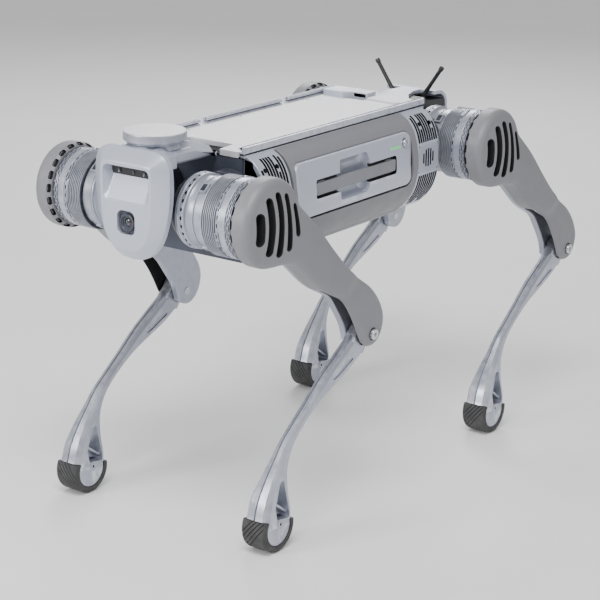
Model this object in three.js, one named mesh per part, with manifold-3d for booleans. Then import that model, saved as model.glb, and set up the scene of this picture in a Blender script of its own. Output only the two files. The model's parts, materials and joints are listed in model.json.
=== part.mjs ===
// Four-legged walking robot, standing with bent knees.
// Millimetres. +X is forwards, +Y is the robot's left, +Z is up, and the floor is z = 0.
// The trunk is drawn about the point midway between its four hips, and the whole group is then
// shifted along X so that the middle of the standing robot's length is x = 0.
import * as THREE from 'three';
import { mergeVertices } from 'three/addons/utils/BufferGeometryUtils.js';
import Module from 'manifold-3d';

const wasm = await Module();
wasm.setup();

// ---------------------------------------------------------------- driving dimensions
const HIP_X = 328.5;          // hip pitch axes, ahead of and behind the middle
const HIP_Z = 530;            // height of the hip axes while standing
const ROLL_Y = 72;            // hip roll axes, either side of the middle
const LEG_Y = 195;            // middle of the knee and foot, sideways
const THIGH = 350;            // hip axis to knee axis
const THIGH_ANGLE = 47.7;     // thigh behind vertical while standing, degrees
const CALF_ANGLE = 44.5;      // calf ahead of vertical while standing, degrees
const MIDDLE_X = 103.2;       // shift that centres the standing robot on x = 0
const GAP = 0.3;              // clearance between pieces that touch

const CHASSIS = { x: 253, y: 92, bottom: 432, top: 597, end: 8 };
const BAY = { back: -163, front: 172, bottom: 485, top: 582, depth: -54 };
const PANEL = { back: -160, front: 169, bottom: 488, top: 579, y: 139 };
const COWL = { back: -180, front: 177, wall: 4 };
const FAIRING = { inner: 181, outer: 249, wall: 5 };
const DECK = { x: 256, y: 87.5, bottom: 598, top: 608.5 };
const RAIL = { inner: 88.5, outer: 98, bottom: 603.3, top: 616.5, wall: 2.4 };
const BAY_LID = { back: -250, front: -208, right: -84, left: 1, top: 618 };
const BARREL = { inner: 69, outer: 175.5, r: 55 };
const ROLL_FLANGE = { r: 51, stub: 20 };
const COVER = { hub: 69, inner: 184, floor: 210, outer: 225 };
const FRAME = { hubInner: 178, hubOuter: 183, armInner: 169, armOuter: 182.4 };
const LEVER = { along: -11.5, across: -32, pin: 4, ring: 8.5 };
const HEAD = { back: 394, front: 420.5 };
const PUCK = { x: 350, r: 49, bottom: 630.5, top: 648 };
const ANTENNA = { x: -357, y: 32, z: 598, r: 3.6, length: 67, lean: 34.5 };

const FACETS = 24;           // sides of a round piece

// ---------------------------------------------------------------- finishes
function finish(color, roughness, metalness) {
  return new THREE.MeshStandardMaterial({ color, roughness, metalness });
}

const SILVER = finish(0xb9bcc6, 0.38, 0.75);
const WARM_GREY = finish(0x8b8b8f, 0.55, 0.15);
const LIGHT_GREY = finish(0xc9c9cf, 0.5, 0.3);
const DARK_METAL = finish(0x2b2d35, 0.45, 0.6);
const BLACK_PLASTIC = finish(0x17181b, 0.5, 0.0);
const RUBBER = finish(0x3a3a3c, 0.85, 0.0);
const LENS = finish(0x0b0b10, 0.08, 0.0);

// ---------------------------------------------------------------- solids
const radians = THREE.MathUtils.degToRad;

function signedVolume(geometry) {
  const p = geometry.attributes.position;
  const index = geometry.index;
  const corner = [new THREE.Vector3(), new THREE.Vector3(), new THREE.Vector3()];
  let total = 0;
  for (let i = 0; i < index.count; i += 3) {
    corner.forEach((v, k) => v.fromBufferAttribute(p, index.getX(i + k)));
    total += corner[0].dot(corner[1].clone().cross(corner[2])) / 6;
  }
  return total;
}

// A closed mesh as a solid, turned right side out if it was built or mirrored inside out.
function solid(geometry) {
  const bare = new THREE.BufferGeometry();
  bare.setAttribute('position', geometry.attributes.position.clone());
  if (geometry.index) bare.setIndex(geometry.index.clone());
  const merged = mergeVertices(bare, 1e-3);
  const triangles = Uint32Array.from(merged.index.array);
  if (signedVolume(merged) < 0) {
    for (let i = 0; i < triangles.length; i += 3) {
      const second = triangles[i + 1];
      triangles[i + 1] = triangles[i + 2];
      triangles[i + 2] = second;
    }
  }
  const vertProperties = Float32Array.from(merged.attributes.position.array);
  return new wasm.Manifold(new wasm.Mesh({ numProp: 3, vertProperties, triVerts: triangles }));
}

function geometryOf(body) {
  const { vertProperties, triVerts } = body.getMesh();
  const geometry = new THREE.BufferGeometry();
  geometry.setAttribute('position', new THREE.BufferAttribute(Float32Array.from(vertProperties), 3));
  geometry.setIndex(new THREE.BufferAttribute(Uint32Array.from(triVerts), 1));
  return geometry;
}

const join = (...bodies) => bodies.reduce((a, b) => a.add(b));
const cut = (body, ...tools) => tools.reduce((a, b) => a.subtract(b), body);

function mirrored(body, axis) {
  const scale = { x: [-1, 1, 1], y: [1, -1, 1] }[axis];
  return solid(geometryOf(body).scale(...scale));
}

function box(x0, x1, y0, y1, z0, z1) {
  const geometry = new THREE.BoxGeometry(x1 - x0, y1 - y0, z1 - z0);
  return solid(geometry.translate((x0 + x1) / 2, (y0 + y1) / 2, (z0 + z1) / 2));
}

// A round bar along one axis: centre is the point where that coordinate is zero.
function bar(axis, from, to, r, centre = [0, 0, 0], facets = FACETS) {
  const geometry = new THREE.CylinderGeometry(r, r, to - from, facets);
  geometry.translate(0, (from + to) / 2, 0);
  if (axis === 'x') geometry.rotateZ(-Math.PI / 2);
  if (axis === 'z') geometry.rotateX(Math.PI / 2);
  return solid(geometry.translate(...centre));
}

// A flat piece whose outline is drawn in local (x, z), between y0 and y1.
function sidePlate(points, y0, y1, bevel = 0) {
  const options = {
    depth: y1 - y0 - 2 * bevel,
    bevelEnabled: bevel > 0,
    bevelSize: bevel,
    bevelThickness: bevel,
    bevelOffset: -bevel,
    bevelSegments: 1,
  };
  const geometry = new THREE.ExtrudeGeometry(new THREE.Shape(points), options);
  return solid(geometry.rotateX(Math.PI / 2).translate(0, y1 - bevel, 0));
}

// A piece of constant section, drawn in (y, z), between x0 and x1.
function section(points, x0, x1) {
  const options = { depth: x1 - x0, bevelEnabled: false };
  const geometry = new THREE.ExtrudeGeometry(new THREE.Shape(points), options);
  geometry.applyMatrix4(new THREE.Matrix4().makeBasis(
    new THREE.Vector3(0, 1, 0), new THREE.Vector3(0, 0, 1), new THREE.Vector3(1, 0, 0)));
  return solid(geometry.translate(x0, 0, 0));
}

// A level piece whose outline is drawn in (x, y), between z0 and z1.
function levelPlate(points, z0, z1) {
  const options = { depth: z1 - z0, bevelEnabled: false };
  return solid(new THREE.ExtrudeGeometry(new THREE.Shape(points), options).translate(0, 0, z0));
}

// Rings of equal length joined into one skin and closed at both ends.
function loft(rings) {
  const around = rings[0].length;
  const position = rings.flat().flatMap((p) => [p.x, p.y, p.z]);
  const index = [];
  for (let i = 0; i + 1 < rings.length; i += 1) {
    for (let j = 0; j < around; j += 1) {
      const a = i * around + j;
      const b = i * around + ((j + 1) % around);
      index.push(a, b, a + around, b, b + around, a + around);
    }
  }
  const last = (rings.length - 1) * around;
  for (let j = 1; j + 1 < around; j += 1) {
    index.push(0, j + 1, j, last, last + j, last + j + 1);
  }
  const geometry = new THREE.BufferGeometry();
  geometry.setAttribute('position', new THREE.Float32BufferAttribute(position, 3));
  geometry.setIndex(index);
  return solid(geometry);
}

// ---------------------------------------------------------------- outlines
const at = (pairs) => pairs.map(([a, b]) => new THREE.Vector2(a, b));
const smooth = (pairs, steps) => new THREE.SplineCurve(at(pairs)).getPoints(steps);

function arc(a, b, r, from, to, steps) {
  return Array.from({ length: steps + 1 }, (_, i) => {
    const angle = radians(from + ((to - from) * i) / steps);
    return new THREE.Vector2(a + r * Math.cos(angle), b + r * Math.sin(angle));
  });
}

function roundedRectangle(a0, a1, b0, b1, r, steps = 4) {
  return [
    ...arc(a1 - r, b0 + r, r, -90, 0, steps), ...arc(a1 - r, b1 - r, r, 0, 90, steps),
    ...arc(a0 + r, b1 - r, r, 90, 180, steps), ...arc(a0 + r, b0 + r, r, 180, 270, steps),
  ];
}

// Height of a smooth curve through the given points, read at one place along it.
function curveAt(pairs, place) {
  const next = Math.max(1, pairs.findIndex(([a]) => a >= place));
  const slope = (i) => {
    const a = pairs[Math.max(0, i - 1)];
    const b = pairs[Math.min(pairs.length - 1, i + 1)];
    return (b[1] - a[1]) / (b[0] - a[0]);
  };
  const [x0, y0] = pairs[next - 1];
  const [x1, y1] = pairs[next];
  const t = (place - x0) / (x1 - x0);
  const h = x1 - x0;
  return y0 * (1 + 2 * t) * (1 - t) ** 2 + slope(next - 1) * h * t * (1 - t) ** 2
    + y1 * t * t * (3 - 2 * t) - slope(next) * h * t * t * (1 - t);
}

// ---------------------------------------------------------------- assembly
const robot = new THREE.Group();
robot.position.x = MIDDLE_X;

function add(group, name, body, material, copy = null) {
  const mesh = new THREE.Mesh(geometryOf(copy ? mirrored(body, copy) : body), material);
  mesh.name = name;
  group.add(mesh);
}

// ---------------------------------------------------------------- trunk
// Half of the trunk's outer section in (y, z), from the deck edge round to the belly.
const SIDE_LINE = [
  [97, 603], [116, 591], [129, 572], [136, 547], [139, 520],
  [136, 493], [128, 468], [115, 449], [100, 434],
];

function sideShell(x0, x1, inset, wall) {
  const outer = smooth(SIDE_LINE.map(([y, z]) => [y - inset, z]), 10);
  const inner = smooth(SIDE_LINE.map(([y, z]) => [y - inset - wall, z - (z - 520) * 0.03]), 10);
  return section([...outer, ...inner.reverse()], x0, x1);
}

function chassis() {
  const { x, y, bottom, top, end } = CHASSIS;
  const boxBody = box(-x, x, -y, y, bottom, top);
  const bay = box(BAY.back, BAY.front, BAY.depth, y + 1, BAY.bottom, BAY.top);
  const boardPocket = box(BAY.back, BAY.front, -y - 1, BAY.depth - 6, bottom + 14, top - 12);
  const compartments = [-1, 1].flatMap((side) => {
    const [near, far] = [side * (x - end), side * (FAIRING.inner - 2)].sort((p, q) => p - q);
    return [box(near, far, -y - 1, y + 1, bottom + 12, top - 12)];
  });
  const shaftHoles = [-1, 1].flatMap((side) => [-1, 1].map((hand) => {
    const [near, far] = [side * (x - end - 1), side * (x + 1)].sort((p, q) => p - q);
    return bar('x', near, far, ROLL_FLANGE.stub + 0.7, [0, hand * ROLL_Y, HIP_Z]);
  }));
  return cut(boxBody, bay, boardPocket, ...compartments, ...shaftHoles);
}

function rollMotor(side, hand) {
  const inner = FAIRING.inner + 4;
  const outer = CHASSIS.x - CHASSIS.end - 1;
  const centre = [0, ROLL_Y + 4, HIP_Z];
  const body = join(bar('x', inner, outer, 40, centre), bar('x', inner + 8, outer - 8, 44, centre));
  const handed = hand < 0 ? mirrored(body, 'y') : body;
  return side < 0 ? mirrored(handed, 'x') : handed;
}

const sideCowl = () => sideShell(COWL.back, COWL.front, 0, COWL.wall);

function batteryWindow(margin) {
  const { back, front, bottom, top } = PANEL;
  const outline = roundedRectangle(back - margin, front + margin, bottom - margin, top + margin, 14);
  return sidePlate(outline, 60, 200);
}

// The finned housing over a hip roll motor: a shell with shallow grooves above and below a flat.
function hipFairing() {
  const shell = sideShell(FAIRING.inner, FAIRING.outer, 1.5, FAIRING.wall);
  const grooves = [0, 1, 2].flatMap((i) => {
    const x = FAIRING.inner + 12 + i * 18;
    return [box(x, x + 7, 120, 150, 556, 586), box(x, x + 7, 120, 150, 462, 490)];
  });
  const skin = sideShell(FAIRING.inner - 1, FAIRING.outer + 1, 4, 12);
  return cut(shell, ...grooves.map((groove) => cut(groove, skin)));
}

function deckPlate() {
  const { x, y, bottom, top } = DECK;
  const plate = levelPlate(roundedRectangle(-x, x - 2, -y, y, 6), bottom, top);
  const notch = levelPlate(at([[214, -46], [270, -56], [270, 56], [214, 46]]), bottom - 1, top + 1);
  const { front, right, left } = BAY_LID;
  const lidSeat = box(-x - 1, front + 1, right - 7, left + 1, bottom - 1, top + 1);
  return cut(plate, notch, lidSeat);
}

// A rail whose channel opens inwards, above the deck.
function deckRail(gaps) {
  const { inner, outer, bottom, top, wall } = RAIL;
  const rail = levelPlate(roundedRectangle(-DECK.x, DECK.x, inner, outer, 3, 3), bottom, top);
  const channel = box(-DECK.x - 1, DECK.x + 1, inner - 1, outer - wall, DECK.top + 0.7, top - wall);
  const breaks = gaps.map(
    ([from, to]) => box(from, to, inner - 1, outer + 1, DECK.top - 1.5, top + 1));
  return cut(rail, channel, ...breaks);
}

function bellyPan() {
  const { bottom } = CHASSIS;
  const top = bottom - GAP;
  const outline = at([[-96, top], [96, top], [88, bottom - 7], [-88, bottom - 7]]);
  return section(outline, COWL.back, COWL.front);
}

function controllerBoard() {
  const board = box(BAY.back + 12, BAY.front - 12, -72, -66, CHASSIS.bottom + 22, CHASSIS.top - 20);
  const heatSink = box(-60, 60, -66.5, -61, 470, 560);
  return join(board, heatSink);
}

// ---------------------------------------------------------------- battery
function batteryPack() {
  const { back, front, bottom, top, y } = PANEL;
  const pack = sidePlate(roundedRectangle(back, front, bottom, top, 13), BAY.depth + 2, y, 2.5);
  const wellOutline = at([[-27, 500], [49, 500], [57, 530], [51, 567], [-27, 567], [-38, 530]]);
  const fingerWell = sidePlate(wellOutline, 112, 160);
  const handleSlot = sidePlate(roundedRectangle(-111, 120, 517, 544, 5), 131, 160);
  const buttonWell = bar('y', 132.2, 160, 8.2, [-140, 0, 562], 20);
  const corner = at([[y + 3, top - 22], [y + 3, top + 6], [y - 9, top + 6]]);
  const chamfer = section(corner, back - 5, front + 5);
  return cut(pack, fingerWell, handleSlot, buttonWell, chamfer);
}

const batteryHandle = () => sidePlate(roundedRectangle(-109, 118, 519, 542, 4), 131.3, 138, 1.5);

function powerButton() {
  const centre = [-140, 0, 562];
  return join(bar('y', 134.3, 138.4, 7.5, centre, 20), bar('y', 138, 139, 5, centre, 20));
}

// ---------------------------------------------------------------- head
// Shield outline in (y, z): wide at the top and rounded at the bottom.
function shield(scale, lift = 0) {
  const half = [
    [0, 456], [22, 459], [40, 470], [55, 490], [66, 520], [72, 552], [73.5, 585], [70, 612], [55, 626],
  ];
  const points = smooth(half, 12);
  const centre = 545;
  const right = points.map(
    (p) => new THREE.Vector2(p.x * scale, centre + (p.y - centre) * scale + lift));
  const left = right.slice(1).reverse().map((p) => new THREE.Vector2(-p.x, p.y));
  return [...right, ...left];
}

function headShell() {
  const ring = (x, scale, lift) => shield(scale, lift).map((p) => new THREE.Vector3(x, p.x, p.y));
  const body = loft([
    ring(HEAD.back, 1, 0), ring(406, 1, 0), ring(418, 0.72, -6), ring(HEAD.front, 0.66, -6),
  ]);
  const mouth = (x, pairs) => at(pairs).map((p) => new THREE.Vector3(x, p.x, p.y));
  const sensorBay = loft([
    mouth(400, [[-40, 603], [40, 603], [38, 590], [-38, 590]]),
    mouth(424, [[-44, 603], [44, 603], [41, 548], [-41, 548]]),
  ]);
  const lensBay = section(roundedRectangle(-16.5, 16.5, 498, 534, 9), 408, 425);
  return cut(body, sensorBay, lensBay);
}

const depthCamera = () => section(at([[-38, 591], [38, 591], [39, 602], [-39, 602]]), 401, 405);

function frontCamera() {
  const bezel = section(roundedRectangle(-15.8, 15.8, 498.7, 533.3, 8.5), 408.3, 414);
  const barrel = bar('x', 413, 418, 12.5, [0, 0, 516]);
  return cut(join(bezel, barrel), bar('x', 416, 420, 9, [0, 0, 516]));
}

function sensorPuck() {
  const { x, r, bottom, top } = PUCK;
  return join(
    bar('z', bottom + 3, top, r, [x, 0, 0], 36), bar('z', bottom, bottom + 4, r - 4, [x, 0, 0], 36));
}

function neckBracket() {
  const rear = 257;
  const front = 393.6;
  const profile = at([[rear, 600], [front, 600], [front, 626], [376, 630], [310, 630], [rear, 614]]);
  const top = sidePlate(profile, -44, 44);
  const arms = [-1, 1].map((hand) => levelPlate(at([
    [rear, 44 * hand], [350, 44 * hand], [372, 62 * hand],
    [front, 62 * hand], [front, 20 * hand], [rear, 20 * hand],
  ]), 600, 621));
  return join(top, ...arms);
}

// ---------------------------------------------------------------- tail
// A bent sheet over the rear electronics, notched on both sides round an antenna.
function tailCover() {
  const profile = [
    ...at([[-257, 598.5], [-374, 598.5]]), ...arc(-379, 577.5, 18, 75, 180, 5), ...at([[-397, 500]]),
    ...arc(-402, 504, 5.5, -60, -180, 3), ...arc(-379, 577.5, 28.5, 180, 90, 6), ...at([[-257, 607]]),
  ];
  const sheet = sidePlate(profile, -52, 52, 2);
  const notches = [-1, 1].map((hand) => levelPlate(at([
    [-276, 53 * hand], [-310, 28 * hand], [-340, 18 * hand], [-366, 18 * hand], [-366, 53 * hand],
  ]), 590, 610));
  const antennaShelf = box(-398, -338, -48, 48, 587, 592);
  return join(cut(sheet, ...notches), antennaShelf);
}

function rearBayLid() {
  const { back, front, right, left, top } = BAY_LID;
  const step = front - 14;
  const outline = at([
    [back, right], [front, right], [front, right + 42], [step, right + 56], [step, left], [back, left],
  ]);
  const mouth = box(back + 12, front, right + 57, left - 3, DECK.top + 0.7, top - 3);
  return cut(levelPlate(outline, DECK.bottom, top), mouth);
}

function antenna(hand) {
  const { x, y, z, r, length, lean } = ANTENNA;
  const rod = bar('z', 0, length - 7, r, [0, 0, 0], 12);
  const tip = bar('z', length - 8, length, r + 0.9, [0, 0, 0], 12);
  const foot = bar('z', -1, 6, r + 1.4, [0, 0, 0], 12);
  const upright = geometryOf(join(rod, tip, foot));
  upright.rotateX(-radians(lean) * hand);
  return solid(upright.translate(x, hand * y, z));
}

// ---------------------------------------------------------------- legs
// Everything in a leg is drawn for the left side, and a right leg is its mirror image.
// The barrel holds the thigh and knee motors, and turns about the roll axis with its flange.
function hipBarrel(side) {
  const { inner, outer, r } = BARREL;
  const profile = [
    [0, inner - 24], [38, inner - 22], [50, inner - 12], [53, inner], [60, inner + 1],
    [60, inner + 13], [r, inner + 14], [r, 120], [63, 121], [63, 147], [61.5, 150],
    [64, 166], [64, outer], [30, outer], [30, outer - 8], [0, outer - 8],
  ];
  const shape = profile.map(([radius, y]) => new THREE.Vector2(radius, y));
  const barrel = solid(new THREE.LatheGeometry(shape, FACETS));
  const reach = HIP_X - CHASSIS.x;
  const flange = bar('x', -reach + 1.2, -30, ROLL_FLANGE.r, [0, ROLL_Y, 0]);
  const stub = bar('x', -reach - CHASSIS.end + 1, -reach + 2, ROLL_FLANGE.stub, [0, ROLL_Y, 0], 16);
  const beyondMiddle = box(-200, 0, -200, 20, -100, 100);
  const trimmed = cut(join(flange, stub), bar('y', inner - 10, 140, r - 6), beyondMiddle);
  const body = join(barrel, trimmed);
  return side < 0 ? mirrored(body, 'x') : body;
}

// Local x runs down the thigh from the hip axis, and local z points to its lower, front side.
const THIGH_REAR = [
  [36, -58], [72, -56], [116, -51], [159, -48], [215, -47], [262, -54], [302, -60],
  [336, -57], [362, -45], [375, -25], [378, -4], [371, 13], [357, 22], [342, 24],
];
const THIGH_FRONT = [
  [328, 21], [303, 12], [270, 3], [237, 0], [205, 8], [180, 14],
  [150, 17], [118, 17], [92, 20], [74, 28], [58, 40],
];

function thighOutline(hub, front = THIGH_FRONT) {
  return [...smooth(THIGH_REAR, 16), ...smooth(front, 9), ...arc(0, 0, hub, 46, 298, 13)];
}

function thighCover() {
  const { hub, inner, floor, outer } = COVER;
  const plate = sidePlate(thighOutline(hub), inner - 8, outer, 6);
  const shell = cut(plate, box(-90, 400, inner - 20, inner, -100, 100));
  const hubCavity = bar('y', inner - 1, floor + 2, hub - 6);
  const armCavity = sidePlate(at([
    [30, -44], [110, -42], [200, -40], [300, -80], [400, -70],
    [400, 60], [196, 60], [186, 6], [90, 8], [40, 14],
  ]), inner - 1, floor);
  const vents = [-42, -21, 0, 21, 42].map((offset, i) => {
    const half = [24, 42, 47, 42, 24][i];
    const outline = roundedRectangle(offset - 5.5, offset + 5.5, -half, half, 5.4, 1);
    const slot = geometryOf(sidePlate(outline, floor - 5, outer + 5));
    return solid(slot.rotateY(-radians(90 + THIGH_ANGLE)));
  });
  const boltHole = bar('y', floor - 1, outer + 1, 9.6, [THIGH, 0, 0], 16);
  return cut(shell, hubCavity, armCavity, boltHole, ...vents);
}

function thighFrame() {
  const { hubInner, hubOuter, armInner, armOuter } = FRAME;
  const hub = bar('y', hubInner, hubOuter, COVER.hub - 4);
  const stub = bar('y', BARREL.outer - 6, hubInner + 1, 28, [0, 0, 0], 24);
  const front = [[338, 20], [316, 9], [280, 1], [245, -4], [205, 6], [170, 12], [120, 14], [92, 17]];
  const outline = [
    ...smooth(THIGH_REAR.slice(2), 13), ...smooth(front, 7), ...at([[72, 20], [72, -52]]),
  ];
  const arm = sidePlate(outline, armInner, armOuter, 2);
  const bridge = sidePlate(
    at([[0, -60], [60, -54], [100, -50], [100, 14], [60, 34], [0, 60]]), hubInner, hubOuter);
  const boltHole = bar('y', armInner - 1, armOuter + 1, 7.4, [THIGH, 0, 0], 16);
  return join(cut(join(hub, bridge, arm), boltHole), stub);
}

function kneeBolt() {
  const head = bar('y', COVER.floor + 4, COVER.outer - 0.5, 9, [THIGH, 0, 0], 16);
  const shaft = bar('y', FRAME.armInner - 0.5, COVER.floor + 5, 7, [THIGH, 0, 0], 16);
  return join(shaft, head);
}

// A crank beside the motor, a rod down the thigh and a lever on the calf form a parallelogram.
function kneeCrank() {
  const outline = [
    ...arc(0, 0, 15, 20, 200, 6), ...arc(LEVER.along, LEVER.across, 8, 200, 380, 5),
  ];
  const arm = sidePlate(outline, 184.4, 190.5);
  const pin = bar('y', 190, 199.5, LEVER.pin, [LEVER.along, 0, LEVER.across], 12);
  return join(arm, pin);
}

function pushRod() {
  const { along, across, pin, ring } = LEVER;
  const eyes = [0, THIGH].map((x) => bar('y', 191.5, 198, ring, [along + x, 0, across], 14));
  const rod = box(along + 4, along + THIGH - 4, 192, 197.5, across - 4, across + 4);
  const holes = [0, THIGH].map((x) => bar('y', 180, 210, pin + 0.6, [along + x, 0, across], 12));
  return cut(join(...eyes, rod), ...holes);
}

// Local x runs down the calf from the knee axis, and local z points to its front side.
const CALF_FRONT = [
  [20, 23], [68, 35], [110, 45], [165, 52], [205, 58],
  [238, 62], [270, 60], [305, 57], [340, 50], [367, 37.5],
];
const CALF_REAR = [
  [20, -19], [63, -7], [100, 9], [140, 26], [180, 37], [212, 42],
  [235, 42], [256, 38], [276, 29], [295, 13], [313, -6], [340, -32],
];
const CALF_HALF = [
  [20, 10.5], [110, 10], [220, 10], [260, 12], [300, 17], [340, 21.5], [367, 22.3],
];
const ANKLE = { s: 349, n: -1 };
const SOLE = { s: 355, n: -1, r: 40.6, core: 30 };
const SOLE_EDGE = [[328, -22], [367, 36]];

// Near the foot the sections tilt, until the last one lies along the edge of the rubber.
function calfRing(s) {
  const tiltFrom = 300;
  const behind = s < tiltFrom ? s : tiltFrom + (s - tiltFrom) * 0.42;
  const front = curveAt(CALF_FRONT, s);
  const rear = curveAt(CALF_REAR, behind);
  const half = curveAt(CALF_HALF, s);
  const lean = (behind - s) / (front - rear);
  const chamfer = 4;
  const corners = [
    [half, front - chamfer], [half, rear + chamfer], [half - chamfer, rear], [chamfer - half, rear],
    [-half, rear + chamfer], [-half, front - chamfer], [chamfer - half, front], [half - chamfer, front],
  ];
  return corners.map(([y, n]) => new THREE.Vector3(s + (front - n) * lean, LEG_Y + y, n));
}

function calfLink() {
  const stations = [20, 52, 84, 116, 148, 180, 212, 244, 276, 305, 335, 366];
  const beam = loft(stations.map(calfRing));
  const knuckle = bar('y', 183.4, 208.5, 20);
  const web = sidePlate(at([[-14, -14], [30, -19], [30, 24], [-4, 19]]), 185, 205.5);
  const leverArm = sidePlate([
    ...arc(0, 0, 13, 0, 180, 6), ...arc(LEVER.along, LEVER.across, 8.5, 180, 360, 6),
  ], 183.6, 190.5);
  const pin = bar('y', 190, 199.5, LEVER.pin, [LEVER.along, 0, LEVER.across], 12);
  const foot = bar('y', LEG_Y - 21, LEG_Y + 21, SOLE.core, [SOLE.s, 0, SOLE.n]);
  const window = sidePlate(at([[292, 40], [326, -12], [352, 16], [335, 28]]), 160, 230);
  const groove = box(120, 322, LEG_Y - 1.5, LEG_Y + 1.5, 0, 200);
  const lowered = (s) => calfRing(s).map((p) => p.setZ(p.z - 4));
  const grooveFloor = loft(stations.map(lowered));
  const padSpace = bar('y', 160, 230, SOLE.r + 1, [SOLE.s, 0, SOLE.n]);
  const core = bar('y', 150, 240, SOLE.core, [SOLE.s, 0, SOLE.n]);
  const trimmed = cut(beam, cut(padSpace, aboveSole(), core));
  const boss = bar('y', LEG_Y - 22.5, LEG_Y + 22.5, 8, [ANKLE.s, 0, ANKLE.n], 12);
  const whole = join(trimmed, knuckle, web, leverArm, pin, foot);
  const shaped = cut(whole, window, cut(groove, grooveFloor));
  return cut(join(shaped, boss), bar('y', 170, 220, 7.7, [0, 0, 0], 16));
}

// Everything on the upper side of the sole's edge.
function aboveSole() {
  const [rear, front] = SOLE_EDGE.map((pair) => new THREE.Vector2(...pair));
  const along = front.clone().sub(rear).normalize();
  const up = new THREE.Vector2(-along.y, along.x);
  const corner = (from, a, b) => from.clone().addScaledVector(along, a).addScaledVector(up, b);
  const outline = [
    corner(rear, -60, 0), corner(front, 60, 0), corner(front, 60, 120), corner(rear, -60, 120),
  ];
  return sidePlate(outline, 140, 250);
}

function footPad() {
  const tread = bar('y', LEG_Y - 23, LEG_Y + 23, SOLE.r, [SOLE.s, 0, SOLE.n], 30);
  const hollow = bar('y', 150, 240, SOLE.core + GAP, [SOLE.s, 0, SOLE.n]);
  return cut(tread, hollow, aboveSole());
}

// ---------------------------------------------------------------- put together
const trunk = new THREE.Group();
robot.add(trunk);
add(trunk, 'chassis', chassis(), DARK_METAL);
add(trunk, 'deck_plate', deckPlate(), LIGHT_GREY);
add(trunk, 'deck_rail_left', deckRail([]), SILVER);
add(trunk, 'deck_rail_right', deckRail([[114, 130], [-110, -94]]), SILVER, 'y');
add(trunk, 'side_cowl_left', cut(sideCowl(), batteryWindow(1)), WARM_GREY);
add(trunk, 'side_cowl_right', sideCowl(), WARM_GREY, 'y');
add(trunk, 'belly_pan', bellyPan(), WARM_GREY);
add(trunk, 'controller_board', controllerBoard(), DARK_METAL);
add(trunk, 'head_shell', headShell(), SILVER);
add(trunk, 'depth_camera', depthCamera(), LENS);
add(trunk, 'front_camera', frontCamera(), BLACK_PLASTIC);
add(trunk, 'sensor_puck', sensorPuck(), LIGHT_GREY);
add(trunk, 'neck_bracket', neckBracket(), SILVER);
add(trunk, 'tail_cover', tailCover(), SILVER);
add(trunk, 'rear_bay_lid', rearBayLid(), SILVER);
add(trunk, 'battery_pack', batteryPack(), SILVER);
add(trunk, 'battery_handle', batteryHandle(), LIGHT_GREY);
add(trunk, 'power_button', powerButton(), SILVER);

for (const [handName, hand] of [['left', 1], ['right', -1]]) {
  const copy = hand < 0 ? 'y' : null;
  add(trunk, `antenna_${handName}`, antenna(hand), BLACK_PLASTIC);
  for (const [endName, side] of [['front', 1], ['rear', -1]]) {
    const corner = `${endName}_${handName}`;
    const fairing = side < 0 ? mirrored(hipFairing(), 'x') : hipFairing();
    add(trunk, `hip_fairing_${corner}`, fairing, LIGHT_GREY, copy);
    add(trunk, `roll_motor_${corner}`, rollMotor(side, hand), DARK_METAL);

    const hip = new THREE.Group();
    hip.position.set(side * HIP_X, 0, HIP_Z);
    trunk.add(hip);
    add(hip, `hip_barrel_${corner}`, hipBarrel(side), SILVER, copy);

    const thigh = new THREE.Group();
    thigh.rotation.y = radians(90 + THIGH_ANGLE);
    hip.add(thigh);
    add(thigh, `thigh_cover_${corner}`, thighCover(), WARM_GREY, copy);
    add(thigh, `thigh_frame_${corner}`, thighFrame(), SILVER, copy);
    add(thigh, `knee_bolt_${corner}`, kneeBolt(), SILVER, copy);
    add(thigh, `knee_crank_${corner}`, kneeCrank(), DARK_METAL, copy);
    add(thigh, `push_rod_${corner}`, pushRod(), DARK_METAL, copy);

    const calf = new THREE.Group();
    calf.position.x = THIGH;
    calf.rotation.y = -radians(THIGH_ANGLE + CALF_ANGLE);
    thigh.add(calf);
    add(calf, `calf_link_${corner}`, calfLink(), SILVER, copy);
    add(calf, `foot_pad_${corner}`, footPad(), RUBBER, copy);
  }
}

export default robot;
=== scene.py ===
import json
import math

import bmesh
import bpy
import numpy as np
from mathutils import Matrix, Vector
from mathutils.geometry import delaunay_2d_cdt


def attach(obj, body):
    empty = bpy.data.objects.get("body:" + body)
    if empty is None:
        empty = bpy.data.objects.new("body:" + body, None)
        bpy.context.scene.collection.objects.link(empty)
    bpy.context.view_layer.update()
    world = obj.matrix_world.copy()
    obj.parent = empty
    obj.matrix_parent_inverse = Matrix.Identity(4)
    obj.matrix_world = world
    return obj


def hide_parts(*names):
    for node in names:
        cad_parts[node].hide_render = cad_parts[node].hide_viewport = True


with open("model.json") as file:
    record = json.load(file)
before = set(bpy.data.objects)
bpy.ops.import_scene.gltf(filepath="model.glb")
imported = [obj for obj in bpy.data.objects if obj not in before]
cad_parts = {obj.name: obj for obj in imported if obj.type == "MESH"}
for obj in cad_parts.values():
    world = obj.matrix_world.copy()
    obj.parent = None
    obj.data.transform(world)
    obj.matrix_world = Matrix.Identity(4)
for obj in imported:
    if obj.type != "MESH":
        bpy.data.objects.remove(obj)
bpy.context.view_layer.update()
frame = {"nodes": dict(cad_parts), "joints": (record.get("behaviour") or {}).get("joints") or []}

# ---------------------------------------------------------------- places taken from the frame
# Shapes are drawn in millimetres in the CAD's own local frames and scaled to metres at the end.
MM = 0.001
JOINTS = {joint["name"]: joint for joint in frame["joints"]}
CORNERS = ["front_left", "front_right", "rear_left", "rear_right"]


def joint_at(name):
    return Vector(JOINTS[name]["pos_m"]) / MM


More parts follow.
